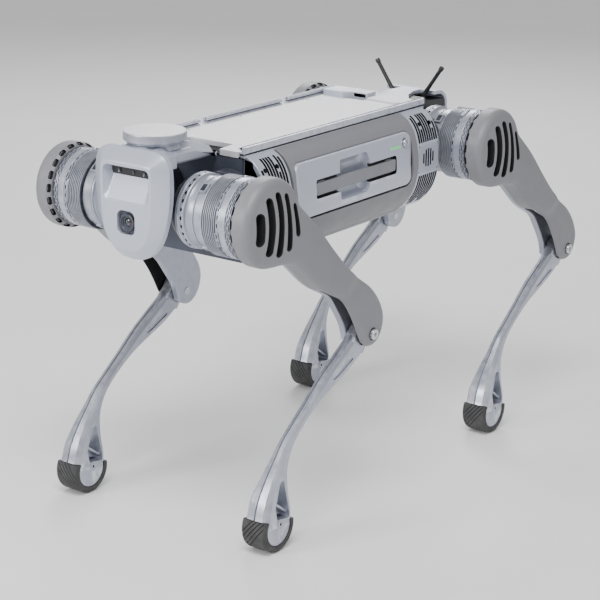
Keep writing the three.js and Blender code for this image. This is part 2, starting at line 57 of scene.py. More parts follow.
HIP = {corner: joint_at("hip_pitch_" + corner) for corner in CORNERS}
KNEE = joint_at("knee_front_left")
MIDDLE_X = (HIP["front_left"].x + HIP["rear_left"].x) / 2
HIP_X = HIP["front_left"].x - MIDDLE_X
HIP_Z = HIP["front_left"].z
LEG_Y = HIP["front_left"].y
ROLL_Y = joint_at("hip_roll_front_left").y
THIGH = (KNEE - HIP["front_left"]).length
THIGH_ANGLE = math.atan2(HIP["front_left"].x - KNEE.x, HIP_Z - KNEE.z)
CALF_ANGLE = math.radians(44.5)
LEVER = joint_at("push_rod_pivot_front_left") - HIP["front_left"]
DOWN_THIGH = (KNEE - HIP["front_left"]).normalized()
LEVER_ALONG = LEVER.dot(DOWN_THIGH)
LEVER_ACROSS = LEVER.dot(Vector((-DOWN_THIGH.z, 0, DOWN_THIGH.x)))

SCALE = Matrix.Scale(MM, 4)
TRUNK = SCALE @ Matrix.Translation((MIDDLE_X, 0, 0))
MIRROR = Matrix.Diagonal((1, -1, 1, 1))


def leg_frame(corner, part):
    """Where a leg piece drawn for the left side goes, with x down the limb and z to its front."""
    hip = HIP[corner]
    place = SCALE
    if corner.endswith("right"):
        place = place @ MIRROR
    place = place @ Matrix.Translation((hip.x, 0, hip.z))
    if part in ("thigh", "calf"):
        place = place @ Matrix.Rotation(math.pi / 2 + THIGH_ANGLE, 4, "Y")
    if part == "calf":
        place = place @ Matrix.Translation((THIGH, 0, 0))
        place = place @ Matrix.Rotation(-THIGH_ANGLE - CALF_ANGLE, 4, "Y")
    if part == "hip" and corner.startswith("rear"):
        place = place @ Matrix.Diagonal((-1, 1, 1, 1))
    return place


# ---------------------------------------------------------------- materials
def node_material(name):
    material = bpy.data.materials.new(name)
    material.use_nodes = True
    tree = material.node_tree
    shader = tree.nodes["Principled BSDF"]
    return material, tree, shader


def texture(tree, kind, scale, detail=2.0):
    """A procedural texture that reads the piece's own coordinates, in metres."""
    place = tree.nodes.new("ShaderNodeTexCoord")
    node = tree.nodes.new(kind)
    node.inputs["Scale"].default_value = scale
    if "Detail" in node.inputs:
        node.inputs["Detail"].default_value = detail
    tree.links.new(place.outputs["Object"], node.inputs["Vector"])
    return node


def span(tree, value, low, high, from_low=0.3, from_high=0.7):
    node = tree.nodes.new("ShaderNodeMapRange")
    node.inputs["From Min"].default_value = from_low
    node.inputs["From Max"].default_value = from_high
    node.inputs["To Min"].default_value = low
    node.inputs["To Max"].default_value = high
    tree.links.new(value, node.inputs["Value"])
    return node.outputs["Result"]


def mixed_colour(tree, factor, first, second):
    node = tree.nodes.new("ShaderNodeMix")
    node.data_type = "RGBA"
    node.inputs["A"].default_value = (*first, 1)
    node.inputs["B"].default_value = (*second, 1)
    tree.links.new(factor, node.inputs["Factor"])
    return node.outputs["Result"]


def painted_edge_highlight(tree):
    """1 on sharp outer edges and 0 elsewhere, broken up by noise: the mask of a painted highlight.
    """
    geometry = tree.nodes.new("ShaderNodeNewGeometry")
    edge = span(tree, geometry.outputs["Pointiness"], 0, 1, 0.52, 0.6)
    breakup = texture(tree, "ShaderNodeTexNoise", 90, 3)
    product = tree.nodes.new("ShaderNodeMath")
    product.operation = "MULTIPLY"
    tree.links.new(edge, product.inputs[0])
    tree.links.new(span(tree, breakup.outputs["Fac"], 0, 1, 0.35, 0.6), product.inputs[1])
    return product.outputs["Value"]


def bump(tree, shader, height, strength, distance):
    node = tree.nodes.new("ShaderNodeBump")
    node.inputs["Strength"].default_value = strength
    node.inputs["Distance"].default_value = distance
    tree.links.new(height, node.inputs["Height"])
    tree.links.new(node.outputs["Normal"], shader.inputs["Normal"])


def coated(name, colour, edge_colour, rough, metal=0.0, grain=2600, grain_depth=0.15,
           variation=0.05, coat=0.0):
    """Paint, anodising or plastic: a fine grain, slow colour drift and a painted highlight on sharp
    edges.
    """
    material, tree, shader = node_material(name)
    drift = texture(tree, "ShaderNodeTexNoise", 5, 1)
    dim = tuple(c * (1 - variation) for c in colour)
    lit = tuple(min(1, c * (1 + variation)) for c in colour)
    base = mixed_colour(tree, span(tree, drift.outputs["Fac"], 0, 1), dim, lit)
    # Sharp edges are mixed towards edge_colour: a painted highlight.
    edge_highlight = tree.nodes.new("ShaderNodeMix")
    edge_highlight.data_type = "RGBA"
    edge_highlight.inputs["B"].default_value = (*edge_colour, 1)
    tree.links.new(base, edge_highlight.inputs["A"])
    tree.links.new(painted_edge_highlight(tree), edge_highlight.inputs["Factor"])
    tree.links.new(edge_highlight.outputs["Result"], shader.inputs["Base Color"])
    smear = texture(tree, "ShaderNodeTexNoise", 38, 5)
    tree.links.new(span(tree, smear.outputs["Fac"], rough * 0.88, rough * 1.14),
                   shader.inputs["Roughness"])
    speck = texture(tree, "ShaderNodeTexNoise", grain, 2)
    bump(tree, shader, speck.outputs["Fac"], 1.0, grain_depth * 0.0002)
    shader.inputs["Metallic"].default_value = metal
    shader.inputs["Coat Weight"].default_value = coat
    shader.inputs["Coat Roughness"].default_value = 0.3
    return material


def rubber_material():
    material, tree, shader = node_material("rubber_moulded")
    dust = texture(tree, "ShaderNodeTexNoise", 55, 5)
    colour = mixed_colour(tree, span(tree, dust.outputs["Fac"], 0, 1, 0.42, 0.7),
                          (0.040, 0.040, 0.042), (0.075, 0.074, 0.073))
    tree.links.new(colour, shader.inputs["Base Color"])
    tree.links.new(span(tree, dust.outputs["Fac"], 0.68, 0.88), shader.inputs["Roughness"])
    pores = texture(tree, "ShaderNodeTexVoronoi", 1400)
    bump(tree, shader, pores.outputs["Distance"], 0.6, 0.0001)
    return material


def lens_material():
    material, tree, shader = node_material("lens_glass_dark")
    ripple = texture(tree, "ShaderNodeTexNoise", 120, 1)
    tint = mixed_colour(tree, span(tree, ripple.outputs["Fac"], 0, 1), (0.010, 0.011, 0.016),
                        (0.016, 0.014, 0.02))
    tree.links.new(tint, shader.inputs["Base Color"])
    tree.links.new(span(tree, ripple.outputs["Fac"], 0.03, 0.08), shader.inputs["Roughness"])
    shader.inputs["Coat Weight"].default_value = 1.0
    shader.inputs["Coat Roughness"].default_value = 0.03
    return material


def glow_material(name, colour, strength):
    material, tree, shader = node_material(name)
    mottle = texture(tree, "ShaderNodeTexNoise", 900, 1)
    shade = mixed_colour(tree, span(tree, mottle.outputs["Fac"], 0, 1),
                         tuple(c * 0.85 for c in colour), colour)
    tree.links.new(shade, shader.inputs["Base Color"])
    tree.links.new(shade, shader.inputs["Emission Color"])
    shader.inputs["Emission Strength"].default_value = strength
    shader.inputs["Roughness"].default_value = 0.3
    return material


SILVER = coated("silver_anodised", (0.40, 0.42, 0.49), (0.66, 0.68, 0.74), 0.33, 0.72, 3000, 0.12)
SHELL = coated("silver_paint", (0.51, 0.54, 0.63), (0.66, 0.68, 0.76), 0.36, 0.42, 2400, 0.16, 0.02,
               0.2)
GREY = coated("warm_grey_texture", (0.215, 0.215, 0.235), (0.27, 0.27, 0.29), 0.46, 0.10, 1900, 0.5,
              0.02)
DECK = coated("pale_deck_paint", (0.66, 0.66, 0.70), (0.70, 0.70, 0.73), 0.42, 0.15, 2400, 0.25,
              0.015)
# Black anodising; on the hip barrel's inner end, fin core and band pits it is painted shade.
DARK = coated("black_anodised_and_painted_shade", (0.020, 0.023, 0.033), (0.07, 0.075, 0.09), 0.38, 0.5, 2600, 0.2,
              0.1)
# Dark cast metal; in the knurl's pits on the barrel it is painted shade.
CAST = coated("dark_cast_frame_and_painted_shade", (0.060, 0.067, 0.090), (0.12, 0.125, 0.15), 0.42, 0.45, 1500, 0.4,
              0.06)
BODY = coated("dark_body_paint", (0.075, 0.084, 0.115), (0.075, 0.084, 0.115), 0.46, 0.3, 1500, 0.4,
              0.04)
BLACK = coated("black_plastic", (0.012, 0.012, 0.015), (0.03, 0.03, 0.035), 0.36, 0.0, 2200, 0.25,
               0.1)
# Near-black finish for slots, hollows, grooves, holes and seams: painted shade inside them.
CAVITY_SHADE = coated("painted_cavity_shade", (0.004, 0.004, 0.006), (0.006, 0.006, 0.008), 0.85, 0.0, 1200, 0.2,
              0.1)
HANDLE = coated("handle_grey_satin", (0.235, 0.24, 0.265), (0.30, 0.30, 0.33), 0.42, 0.3, 2400, 0.2,
                0.02)
STEEL = coated("turned_steel", (0.56, 0.57, 0.61), (0.75, 0.76, 0.80), 0.26, 0.9, 1800, 0.15, 0.06)
FINS = coated("fin_anodised", (0.37, 0.39, 0.46), (0.60, 0.62, 0.68), 0.36, 0.66, 3000, 0.12)
BOARD = coated("circuit_board_mask", (0.012, 0.075, 0.036), (0.30, 0.25, 0.12), 0.35, 0.0, 700, 0.6,
               0.25)
RUBBER = rubber_material()
LENS = lens_material()
LED = glow_material("charge_light_green", (0.0, 0.80, 0.08), 0.9)
# Glowing green and magenta dots on the lens: painted reflections.
GLINT_GREEN = glow_material("painted_glint_green", (0.10, 0.35, 0.16), 0.25)
GLINT_PINK = glow_material("painted_glint_magenta", (0.45, 0.10, 0.38), 0.25)


# ---------------------------------------------------------------- outlines
def arc(a, b, r, start, end, steps):
    angles = np.radians(np.linspace(start, end, steps + 1))
    return [(a + r * math.cos(t), b + r * math.sin(t)) for t in angles]


def smooth(points, steps):
    """A smooth curve through the points, with steps equal stretches between each two."""
    p = [np.array(q, float) for q in points]
    p = [2 * p[0] - p[1]] + p + [2 * p[-1] - p[-2]]
    out = []
    for i in range(1, len(p) - 2):
        for k in range(steps):
            t = k / steps
            out.append(0.5 * (2 * p[i] + (p[i + 1] - p[i - 1]) * t
                              + (2 * p[i - 1] - 5 * p[i] + 4 * p[i + 1] - p[i + 2]) * t ** 2
                              + (3 * p[i] - p[i - 1] - 3 * p[i + 1] + p[i + 2]) * t ** 3))
    out.append(p[-2])
    return [tuple(q) for q in out]


def rounded(points, radii, steps=5):
    """A closed outline with its corners rounded; radii is one number or one for each corner."""
    n = len(points)
    radii = [radii] * n if isinstance(radii, (int, float)) else radii
    out = []
    for i, r in enumerate(radii):
        here = np.array(points[i], float)
        a = np.array(points[i - 1], float) - here
        b = np.array(points[(i + 1) % n], float) - here
        la, lb = np.linalg.norm(a), np.linalg.norm(b)
        a, b = a / la, b / lb
        half = math.acos(max(-1, min(1, a @ b))) / 2
        reach = min(r / math.tan(half), 0.49 * la, 0.49 * lb)
        if r <= 0 or half > math.pi / 2 - 0.01:
            out.append(tuple(here))
            continue
        r = reach * math.tan(half)
        bisector = (a + b) / np.linalg.norm(a + b)
        centre = here + bisector * r / math.sin(half)
        start, end = here + a * reach - centre, here + b * reach - centre
        turn = math.atan2(start[0] * end[1] - start[1] * end[0], start @ end)
        for k in range(steps + 1):
            t = turn * k / steps
            c, s = math.cos(t), math.sin(t)
            out.append((centre[0] + c * start[0] - s * start[1],
                        centre[1] + s * start[0] + c * start[1]))
    return out


def box_outline(a0, a1, b0, b1, r, steps=5):
    return rounded([(a0, b0), (a1, b0), (a1, b1), (a0, b1)], r, steps)


def area(outline):
    p = np.array(outline, float)
    q = np.roll(p, -1, 0)
    return 0.5 * float(np.sum(p[:, 0] * q[:, 1] - p[:, 1] * q[:, 0]))


def counter_clockwise(outline):
    return list(outline) if area(outline) > 0 else list(outline)[::-1]


def inset(outline, d):
    """The counter-clockwise outline moved inwards by d at every point."""
    p = np.array(outline, float)
    before, after = p - np.roll(p, 1, 0), np.roll(p, -1, 0) - p
    before /= np.linalg.norm(before, axis=1)[:, None]
    after /= np.linalg.norm(after, axis=1)[:, None]
    normal = np.stack([-(before + after)[:, 1], (before + after)[:, 0]], 1)
    length = np.linalg.norm(normal, axis=1)
    normal /= length[:, None]
    stretch = np.minimum(2.0 / length, 1.6)
    return [tuple(q) for q in p + normal * (d * stretch)[:, None]]


def evened(outline, step):
    """The closed outline with points added so that no stretch is longer than step."""
    out = []
    for i, a in enumerate(outline):
        b = outline[(i + 1) % len(outline)]
        pieces = max(1, round(math.dist(a, b) / step))
        out += [(a[0] + (b[0] - a[0]) * k / pieces, a[1] + (b[1] - a[1]) * k / pieces)
                for k in range(pieces)]
    return out


def inside(points, outline):
    """For each point, whether it lies inside the closed outline."""
    p, poly = np.array(points), np.array(outline)
    result = np.zeros(len(p), bool)
    for a, b in zip(poly, np.roll(poly, -1, 0)):
        crosses = (a[1] > p[:, 1]) != (b[1] > p[:, 1])
        slope = (b[0] - a[0]) / (b[1] - a[1] if b[1] != a[1] else 1e-12)
        result ^= crosses & (p[:, 0] < a[0] + slope * (p[:, 1] - a[1]))
    return result


# ---------------------------------------------------------------- mesh building
# A mesh under construction has three finish slots, which the finished piece fills.
PLACEHOLDERS = [bpy.data.materials.new(f"slot_{k}") for k in range(3)]


class Build:
    """Collects vertices and faces in millimetres."""

    def __init__(self):
        self.verts = []
        self.faces = []
        self.slots = []

    def add(self, verts, faces, slot=0):
        start = len(self.verts)
        self.verts += [tuple(v) for v in verts]
        self.faces += [tuple(start + i for i in face) for face in faces]
        self.slots += [slot] * len(faces)
        return self

    def rings(self, rings, slot=0, cap_start=True, cap_end=True, loop=False):
        """Joins rings of equal length into a skin, closed at its ends unless it loops."""
        n = len(rings[0])
        faces = []
        for i in range(len(rings) if loop else len(rings) - 1):
            a, b = i * n, ((i + 1) % len(rings)) * n
            faces += [(a + j, a + (j + 1) % n, b + (j + 1) % n, b + j) for j in range(n)]
        if cap_start and not loop:
            faces.append(tuple(range(n - 1, -1, -1)))
        if cap_end and not loop:
            faces.append(tuple((len(rings) - 1) * n + j for j in range(n)))
        return self.add([v for ring in rings for v in ring], faces, slot)

    def lathe(self, profile, segments=96, centre=(0, 0), slot=0, loop=False):
        """Turns a profile of (radius, y) about the local Y axis."""
        rings = []
        for r, y in profile:
            r = max(r, 0.01)
            angles = [2 * math.pi * j / segments for j in range(segments)]
            rings.append([(centre[0] + r * math.cos(t), y, centre[1] - r * math.sin(t))
                          for t in angles])
        return self.rings(rings, slot, loop=loop)

    def moulded(self, outline, base, top, fillet, to_xyz, holes=(), steps=5, spacing=6.0):
        """A closed block with a rounded upper edge and a face shaped by top(u, v).

        Each hole is (outline, floor, lip, slot), with a rounded lip and straight walls.
        """
        outline = counter_clockwise(outline)

        def ring(points, drop=0.0, level=None):
            return [to_xyz(u, v, top(u, v) - drop if level is None else level) for u, v in points]

        rings = [ring(outline, level=base)]
        for k in range(steps + 1):
            t = math.pi / 2 * k / steps
            rings.append(ring(inset(outline, fillet * (1 - math.cos(t))),
                              fillet * (1 - math.sin(t))))
        self.rings(rings, cap_end=False)
        loops = [inset(outline, fillet)]
        for points, bottom, lip, hole_slot in holes:
            points = counter_clockwise(points)
            hole_rings = []
            for k in range(4):
                t = math.pi / 2 * k / 3
                grown = inset(points, -lip * (1 - math.sin(t)))
                hole_rings.append(ring(grown, lip * (1 - math.cos(t))))
            hole_rings.append(ring(points, level=bottom))
            self.rings([r[::-1] for r in hole_rings], hole_slot, cap_start=False)
            loops.append(inset(points, -lip))
        return self.face(loops, ring, spacing)

    def face(self, loops, ring, spacing):
        """Fills the first loop, less the others, with triangles that follow the height."""
        points, edges = [], []
        for loop in loops:
            start = len(points)
            points += loop
            edges += [(start + i, start + (i + 1) % len(loop)) for i in range(len(loop))]
        fixed = np.array(points)
        low, high = fixed.min(0), fixed.max(0)
        grid = []
        for j, v in enumerate(np.arange(low[1] + spacing / 2, high[1], spacing * 0.87)):
            shift = spacing / 2 * (j % 2)
            grid += [(u + shift, v) for u in np.arange(low[0] + spacing / 2, high[0], spacing)]
        grid = np.array(grid) if grid else np.zeros((0, 2))
        if len(grid):
            keep = inside(grid, loops[0])
            for hole in loops[1:]:
                keep &= ~inside(grid, hole)
            grid = grid[keep]
        if len(grid):
            gaps = np.sqrt(((grid[:, None, :] - fixed[None, :, :]) ** 2).sum(2)).min(1)
            grid = grid[gaps > spacing * 0.45]
        everything = [Vector(p) for p in points] + [Vector(p) for p in grid]
        result = delaunay_2d_cdt(everything, edges, [], 0, 1e-6)
        flat, triangles = result[0], result[2]
        middles = np.array([sum((flat[i] for i in t), Vector((0, 0))) / len(t) for t in triangles])
        keep = inside(middles, loops[0])
        for hole in loops[1:]:
            keep &= ~inside(middles, hole)
        faces = []
        for triangle, kept in zip(triangles, keep):
            if not kept:
                continue
            corners = [flat[i] for i in triangle]
            faces.append(tuple(triangle) if area(corners) > 0 else tuple(triangle)[::-1])
        return self.add(ring([tuple(p) for p in flat]), faces)

    def pitted_band(self, across, count, rows, hole, depth, pit_slot, stagger=False):
        """A band round the Y axis with rows of sunk holes.

        across(t) gives (radius, y) from the edge at t = 0 to the one at t = 1, and hole is a closed
        outline in a cell that runs from -1 to 1 both ways, first round the band and then across it.
        """
        cell_angle = 2 * math.pi / count

        def at(angle, t, sink=0.0):
            r, y = across(t)
            r2, y2 = across(min(1, t + 0.01))
            r1, y1 = across(max(0, t - 0.01))
            length = math.hypot(r2 - r1, y2 - y1)
            normal = ((y2 - y1) / length, -(r2 - r1) / length)
            r, y = r - sink * normal[0], y - sink * normal[1]
            return (r * math.cos(angle), y, -r * math.sin(angle))

        for row in range(rows):
            for cell in range(count):
                middle = (cell + (0.5 if stagger and row % 2 else 0.0)) * cell_angle

                def spot(a, b, sink=0.0):
                    return at(middle + a * cell_angle / 2, (row + 0.5 + b / 2) / rows, sink)

                square = [(a / max(abs(a), abs(b)), b / max(abs(a), abs(b))) for a, b in hole]
                rings = [[spot(a, b) for a, b in square],
                         [spot((a + c) / 2, (b + d) / 2) for (a, b), (c, d) in zip(square, hole)],
                         [spot(a, b) for a, b in hole]]
                self.rings(rings, cap_start=False, cap_end=False)
                # The holes' walls and floors take pit_slot, a darker finish: painted shade in the
                # holes.
                walls = [[spot(a, b, sink) for a, b in hole] for sink in (0.0, depth)]
                self.rings(walls, pit_slot, cap_start=False)
        return self

    def mesh(self, name):
        made = bpy.data.meshes.new(name)
        made.from_pydata(self.verts, [], self.faces)
        for material in PLACEHOLDERS:
            made.materials.append(material)
        made.polygons.foreach_set("material_index", self.slots)
        made.update()
        return made


def bar(axis, start, end, r, centre=(0, 0, 0), segments=48, chamfer=0.4, slot=0):
    """A round bar with chamfered ends, along x, y or z."""
    along = {"x": 0, "y": 1, "z": 2}[axis]
    others = [k for k in range(3) if k != along]
    rings = []
    for place, radius in ((start, r - chamfer), (start + chamfer, r),
                          (end - chamfer, r), (end, r - chamfer)):
        ring = []
        for j in range(segments):
            t = 2 * math.pi * j / segments
            v = list(centre)
            v[along] = centre[along] + place
            v[others[0]] = centre[others[0]] + radius * math.cos(t)
            v[others[1]] = centre[others[1]] + radius * math.sin(t)
            ring.append(tuple(v))
        rings.append(ring)
    return Build().rings(rings, slot)


def prism(outline, low, high, to_xyz, fillet=0.0, slot=0):
    """A flat piece of one outline with both of its edges rounded."""
    outline = counter_clockwise(outline)
    turns = [math.pi / 6 * k for k in range(4)]
    rings = [(inset(outline, fillet * (1 - math.sin(t))), low + fillet * (1 - math.cos(t)))
             for t in turns]
    rings += [(inset(outline, fillet * (1 - math.cos(t))), high - fillet * (1 - math.sin(t)))
              for t in turns]
    if fillet == 0:
        rings = [(outline, low), (outline, high)]
    return Build().rings([[to_xyz(u, v, w) for u, v in ring] for ring, w in rings], slot)


def side_on(u, v, w):
    """An outline drawn in (x, z) and standing out sideways."""
    return (u, w, v)


def level(u, v, w):
    """An outline drawn in (x, y) and standing up."""
    return (u, v, w)


def end_on(u, v, w):
    """An outline drawn in (y, z) and standing out forwards."""
    return (w, u, v)


def temporary(mesh):
    obj = bpy.data.objects.new(mesh.name, mesh)
    bpy.context.scene.collection.objects.link(obj)
    return obj


def finished(body):
    """The mesh of a temporary object with its modifiers applied; the object is removed."""
    bpy.context.view_layer.update()
    depsgraph = bpy.context.evaluated_depsgraph_get()
    mesh = bpy.data.meshes.new_from_object(body.evaluated_get(depsgraph))
    bpy.data.objects.remove(body)
    return mesh


def outward(mesh):
    """Turns every face outwards, part by part."""
    bm = bmesh.new()
    bm.from_mesh(mesh)
    bmesh.ops.remove_doubles(bm, verts=bm.verts, dist=1e-4)
    bmesh.ops.recalc_face_normals(bm, faces=bm.faces)
    bm.to_mesh(mesh)
    bm.free()
    return mesh


def as_mesh(shape, name):
    return outward(shape.mesh(name)) if isinstance(shape, Build) else shape


def carved(shape, *cutters, operation="DIFFERENCE", name="carved"):
    """The shape less the cutters, or joined with them, by exact booleans."""
    body = temporary(as_mesh(shape, name))
    tools = []
    for k, cutter in enumerate(cutters):
        tool = temporary(as_mesh(cutter, f"{name}_tool_{k}"))
        modifier = body.modifiers.new("cut", "BOOLEAN")
        modifier.operation = operation
        modifier.solver = "EXACT"
        modifier.object = tool
        modifier.material_mode = "INDEX"
        tools.append(tool)
    result = finished(body)
    for tool in tools:
        bpy.data.objects.remove(tool)
    return result


def bevelled(shape, width, segments=2, angle=35):
    """The shape with its sharp edges rounded."""
    body = temporary(as_mesh(shape, "bevelled"))
    modifier = body.modifiers.new("bevel", "BEVEL")
    modifier.width = width
    modifier.segments = segments
    modifier.limit_method = "ANGLE"
    modifier.angle_limit = math.radians(angle)
    modifier.use_clamp_overlap = True
    return finished(body)


def piece(name, shape, place, body, materials, replaces=(), angle=32):
    """Puts a finished shape in the scene, riding on its body."""
    source = as_mesh(shape, name)
    mesh = source.copy()
    mesh.name = name
    mesh.transform(place)
    if place.determinant() < 0:
        mesh.flip_normals()
    materials = list(materials) if isinstance(materials, (list, tuple)) else [materials]
    for k, material in enumerate(materials):
        mesh.materials[k] = material
    while len(mesh.materials) > len(materials):
        mesh.materials.pop(index=len(mesh.materials) - 1)
    mesh.shade_smooth()
    mesh.set_sharp_from_angle(angle=math.radians(angle))
    obj = bpy.data.objects.new(name, mesh)
    bpy.context.scene.collection.objects.link(obj)
    normals = obj.modifiers.new("weighted_normals", "WEIGHTED_NORMAL")
    normals.keep_sharp = True
    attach(obj, body)
    if replaces:
        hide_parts(*replaces)
    return obj


# ---------------------------------------------------------------- camera, floor and light
def aim(obj, forward, up):
    z = -Vector(forward).normalized()
    x = Vector(up).cross(z).normalized()
    y = z.cross(x)
    obj.rotation_euler = Matrix((x, y, z)).transposed().to_euler()


def camera():
    data = bpy.data.cameras.new("camera")
    data.sensor_width = 36
    data.lens = 114.06
    obj = bpy.data.objects.new("camera", data)
    obj.location = Vector((2.50826 + MIDDLE_X * MM, 1.83374, 1.25233))
    aim(obj, (-0.77458, -0.55950, -0.29493), (-0.23150, -0.18314, 0.95544))
    bpy.context.scene.collection.objects.link(obj)
    bpy.context.scene.camera = obj


def area_light(name, where, target, size, power):
    data = bpy.data.lights.new(name, "AREA")
    data.shape = "RECTANGLE"
    data.size, data.size_y = size
    data.energy = power
    obj = bpy.data.objects.new(name, data)
    obj.location = where
    aim(obj, Vector(target) - Vector(where), (0, 0, 1))
    bpy.context.scene.collection.objects.link(obj)


def studio():
    world = bpy.data.worlds.new("studio")
    bpy.context.scene.world = world
    world.use_nodes = True
    tree = world.node_tree
    background = tree.nodes["Background"]
    place = tree.nodes.new("ShaderNodeTexCoord")
    split = tree.nodes.new("ShaderNodeSeparateXYZ")
    ramp = tree.nodes.new("ShaderNodeValToRGB")
    ramp.color_ramp.elements[0].position = 0.35
    ramp.color_ramp.elements[0].color = (0.55, 0.57, 0.62, 1)
    ramp.color_ramp.elements[1].position = 0.62
    ramp.color_ramp.elements[1].color = (1.0, 1.0, 1.0, 1)
    tree.links.new(place.outputs["Generated"], split.inputs["Vector"])
    tree.links.new(span(tree, split.outputs["Z"], 0, 1, -1, 1), ramp.inputs["Fac"])
    tree.links.new(ramp.outputs["Color"], background.inputs["Color"])
    background.inputs["Strength"].default_value = 0.6
    area_light("key", (1.5, 0.8, 3.0), (0.1, 0, 0.4), (1.6, 1.2), 74)
    area_light("front", (3.4, -1.2, 1.7), (0.4, 0, 0.45), (1.2, 1.2), 62)
    area_light("side", (0.2, 3.6, 1.3), (0, 0, 0.45), (2.4, 0.8), 9)
    area_light("back", (-2.6, -1.8, 2.4), (0, 0, 0.4), (1.4, 1.0), 56)
    floor = bpy.data.meshes.new("floor")
    reach = 14
    corners = [(-reach, -reach, 0), (reach, -reach, 0), (reach, reach, 0), (-reach, reach, 0)]
    floor.from_pydata(corners, [], [(0, 1, 2, 3)])
    obj = bpy.data.objects.new("floor", floor)
    bpy.context.scene.collection.objects.link(obj)
    floor.materials.append(coated("pale_floor", (0.90, 0.90, 0.90), (0.90, 0.90, 0.90), 0.8, 0.0,
                                  40, 0.05, 0.01))


camera()
studio()

# ---------------------------------------------------------------- finish for CAD nodes that stay
KEPT = {
    "chassis": BODY, "controller_board": BOARD, "roll_motor": DARK, "belly_pan": GREY,
}
for node_name, node_object in frame["nodes"].items():
    finish = next((m for start, m in KEPT.items() if node_name.startswith(start)), SILVER)
    node_object.data.materials.clear()
    node_object.data.materials.append(finish)
    edges = node_object.modifiers.new("edge_bevel", "BEVEL")
    edges.width = 0.0006
    edges.segments = 2
    edges.limit_method = "ANGLE"
    edges.angle_limit = math.radians(40)

# ---------------------------------------------------------------- thigh covers
THIGH_REAR = [(36, -58), (72, -56), (116, -51), (159, -48), (215, -47), (262, -54), (302, -60),
              (336, -57), (362, -45),
              (375, -25), (378, -4), (371, 13), (357, 22), (342, 24)]
THIGH_FRONT = [(328, 21), (303, 12), (270, 3), (237, 0), (205, 8), (180, 14), (150, 17), (118, 17),
               (92, 20),
               (74, 28), (58, 40)]
COVER_INNER, COVER_OUTER, HUB_R = 184.5, 225.0, 69.0
HUB_INNER = 177.6


def upright(a, b):
    """A point drawn as (forwards, up) from the hip axis, in the thigh's own axes."""
    angle = math.pi / 2 + THIGH_ANGLE
    return (a * math.cos(angle) - b * math.sin(angle), a * math.sin(angle) + b * math.cos(angle))


def ease(value, low, high):
    t = max(0.0, min(1.0, (value - low) / (high - low)))
    return t * t * (3 - 2 * t)


def cover_height(u, v):
    """The cover's outer face: a domed hub, a flat arm and a lower step towards the knee."""
    middle = -20 * ease(u, 20, 120) + 14 * ease(u, 280, 350)
    across = math.hypot(min(u, 0), v - middle)
    dome = (7.0 - 5.2 * ease(u, 50, 130)) * (across / 43) ** 2
    step = 6.5 * ease(u + 0.25 * v, 214, 246)
    return COVER_OUTER - min(dome, 12) - step


def vent_outline(offset, half, width):
    """A round-ended slot standing upright in the standing robot."""
    upper = arc(offset, half - width / 2, width / 2, 0, 180, 8)
    lower = arc(offset, width / 2 - half, width / 2, 180, 360, 8)
    return evened([upright(a, b) for a, b in upper + lower], 6)


def thigh_cover():
    outline = smooth(THIGH_REAR, 4) + smooth(THIGH_FRONT, 3) + arc(0, 0, HUB_R, 46, 298, 42)
    vents = [vent_outline(*vent) for vent in
             ((42, 24, 13), (21, 43.5, 11.5), (0, 48.5, 10.5), (-21, 43, 9.5), (-42, 24, 9))]
    # Vents and the knee hole take slot 1: painted shade inside them.
    holes = [(vent, 206, 1.4, 1) for vent in vents]
    holes.append((arc(THIGH, 0, 10.2, 0, 345, 23), 210, 0.6, 1))
    shell = Build().moulded(outline, COVER_INNER, cover_height, 13, side_on, holes, 7, 5.0)
    channel = [(196, 60), (186, 5), (197, -32), (262, -47), (305, -53), (333, -50), (352, -40),
               (364, -22),
               (366, -4), (361, 8), (350, 14), (350, 60)]
    rod_space = [(-50, -44), (0, -58), (60, -52), (110, -45), (204, -43), (204, 4), (90, 8),
                 (56, 34), (0, 56), (-50, 44)]
    lever_space = [(340, -70), (400, -70), (400, 14), (340, 14)]
    # The hollows underneath take slot 1: painted shade inside the cover.
    hollows = [prism(space, COVER_INNER - 5, depth, side_on, slot=1)
               for space, depth in ((rounded(channel, 4), 209.6), (rounded(rod_space, 6), 201),
                                    (lever_space, 200))]
    lid = carved(shell, *hollows, name="thigh_cover")
    rim = Build()
    slot = [(a * 0.66, b * 0.52) for a, b in box_outline(-1, 1, -1, 1, 0.62, 4)]

    def corner(t):
        angle = math.pi / 2 * t
        return (HUB_R - 8 + 8 * math.sin(angle), COVER_INNER + 3 - 9.9 * math.cos(angle))

    # The rim's pits take slot 1: painted shade in them.
    rim.pitted_band(corner, 20, 1, slot, 4, 1)
    rim.rings([[(r * math.cos(t), y, -r * math.sin(t))
                for t in np.linspace(0, 2 * math.pi, 96, False)]
               for r, y in ((HUB_R, COVER_INNER + 3), (HUB_R - 8, COVER_INNER + 3),
                            (HUB_R - 8, HUB_INNER))],
              0, False, False)
    return joined([lid, as_mesh(rim, "thigh_cover_rim")], "thigh_cover")


def joined(meshes, name):
    """Several meshes as one."""
    whole = Build()
    for mesh in meshes:
        mesh = as_mesh(mesh, name)
        slots = [p.material_index for p in mesh.polygons]
        start = len(whole.verts)
        whole.verts += [tuple(v.co) for v in mesh.vertices]
        whole.faces += [tuple(start + i for i in p.vertices) for p in mesh.polygons]
        whole.slots += slots
    return whole.mesh(name)


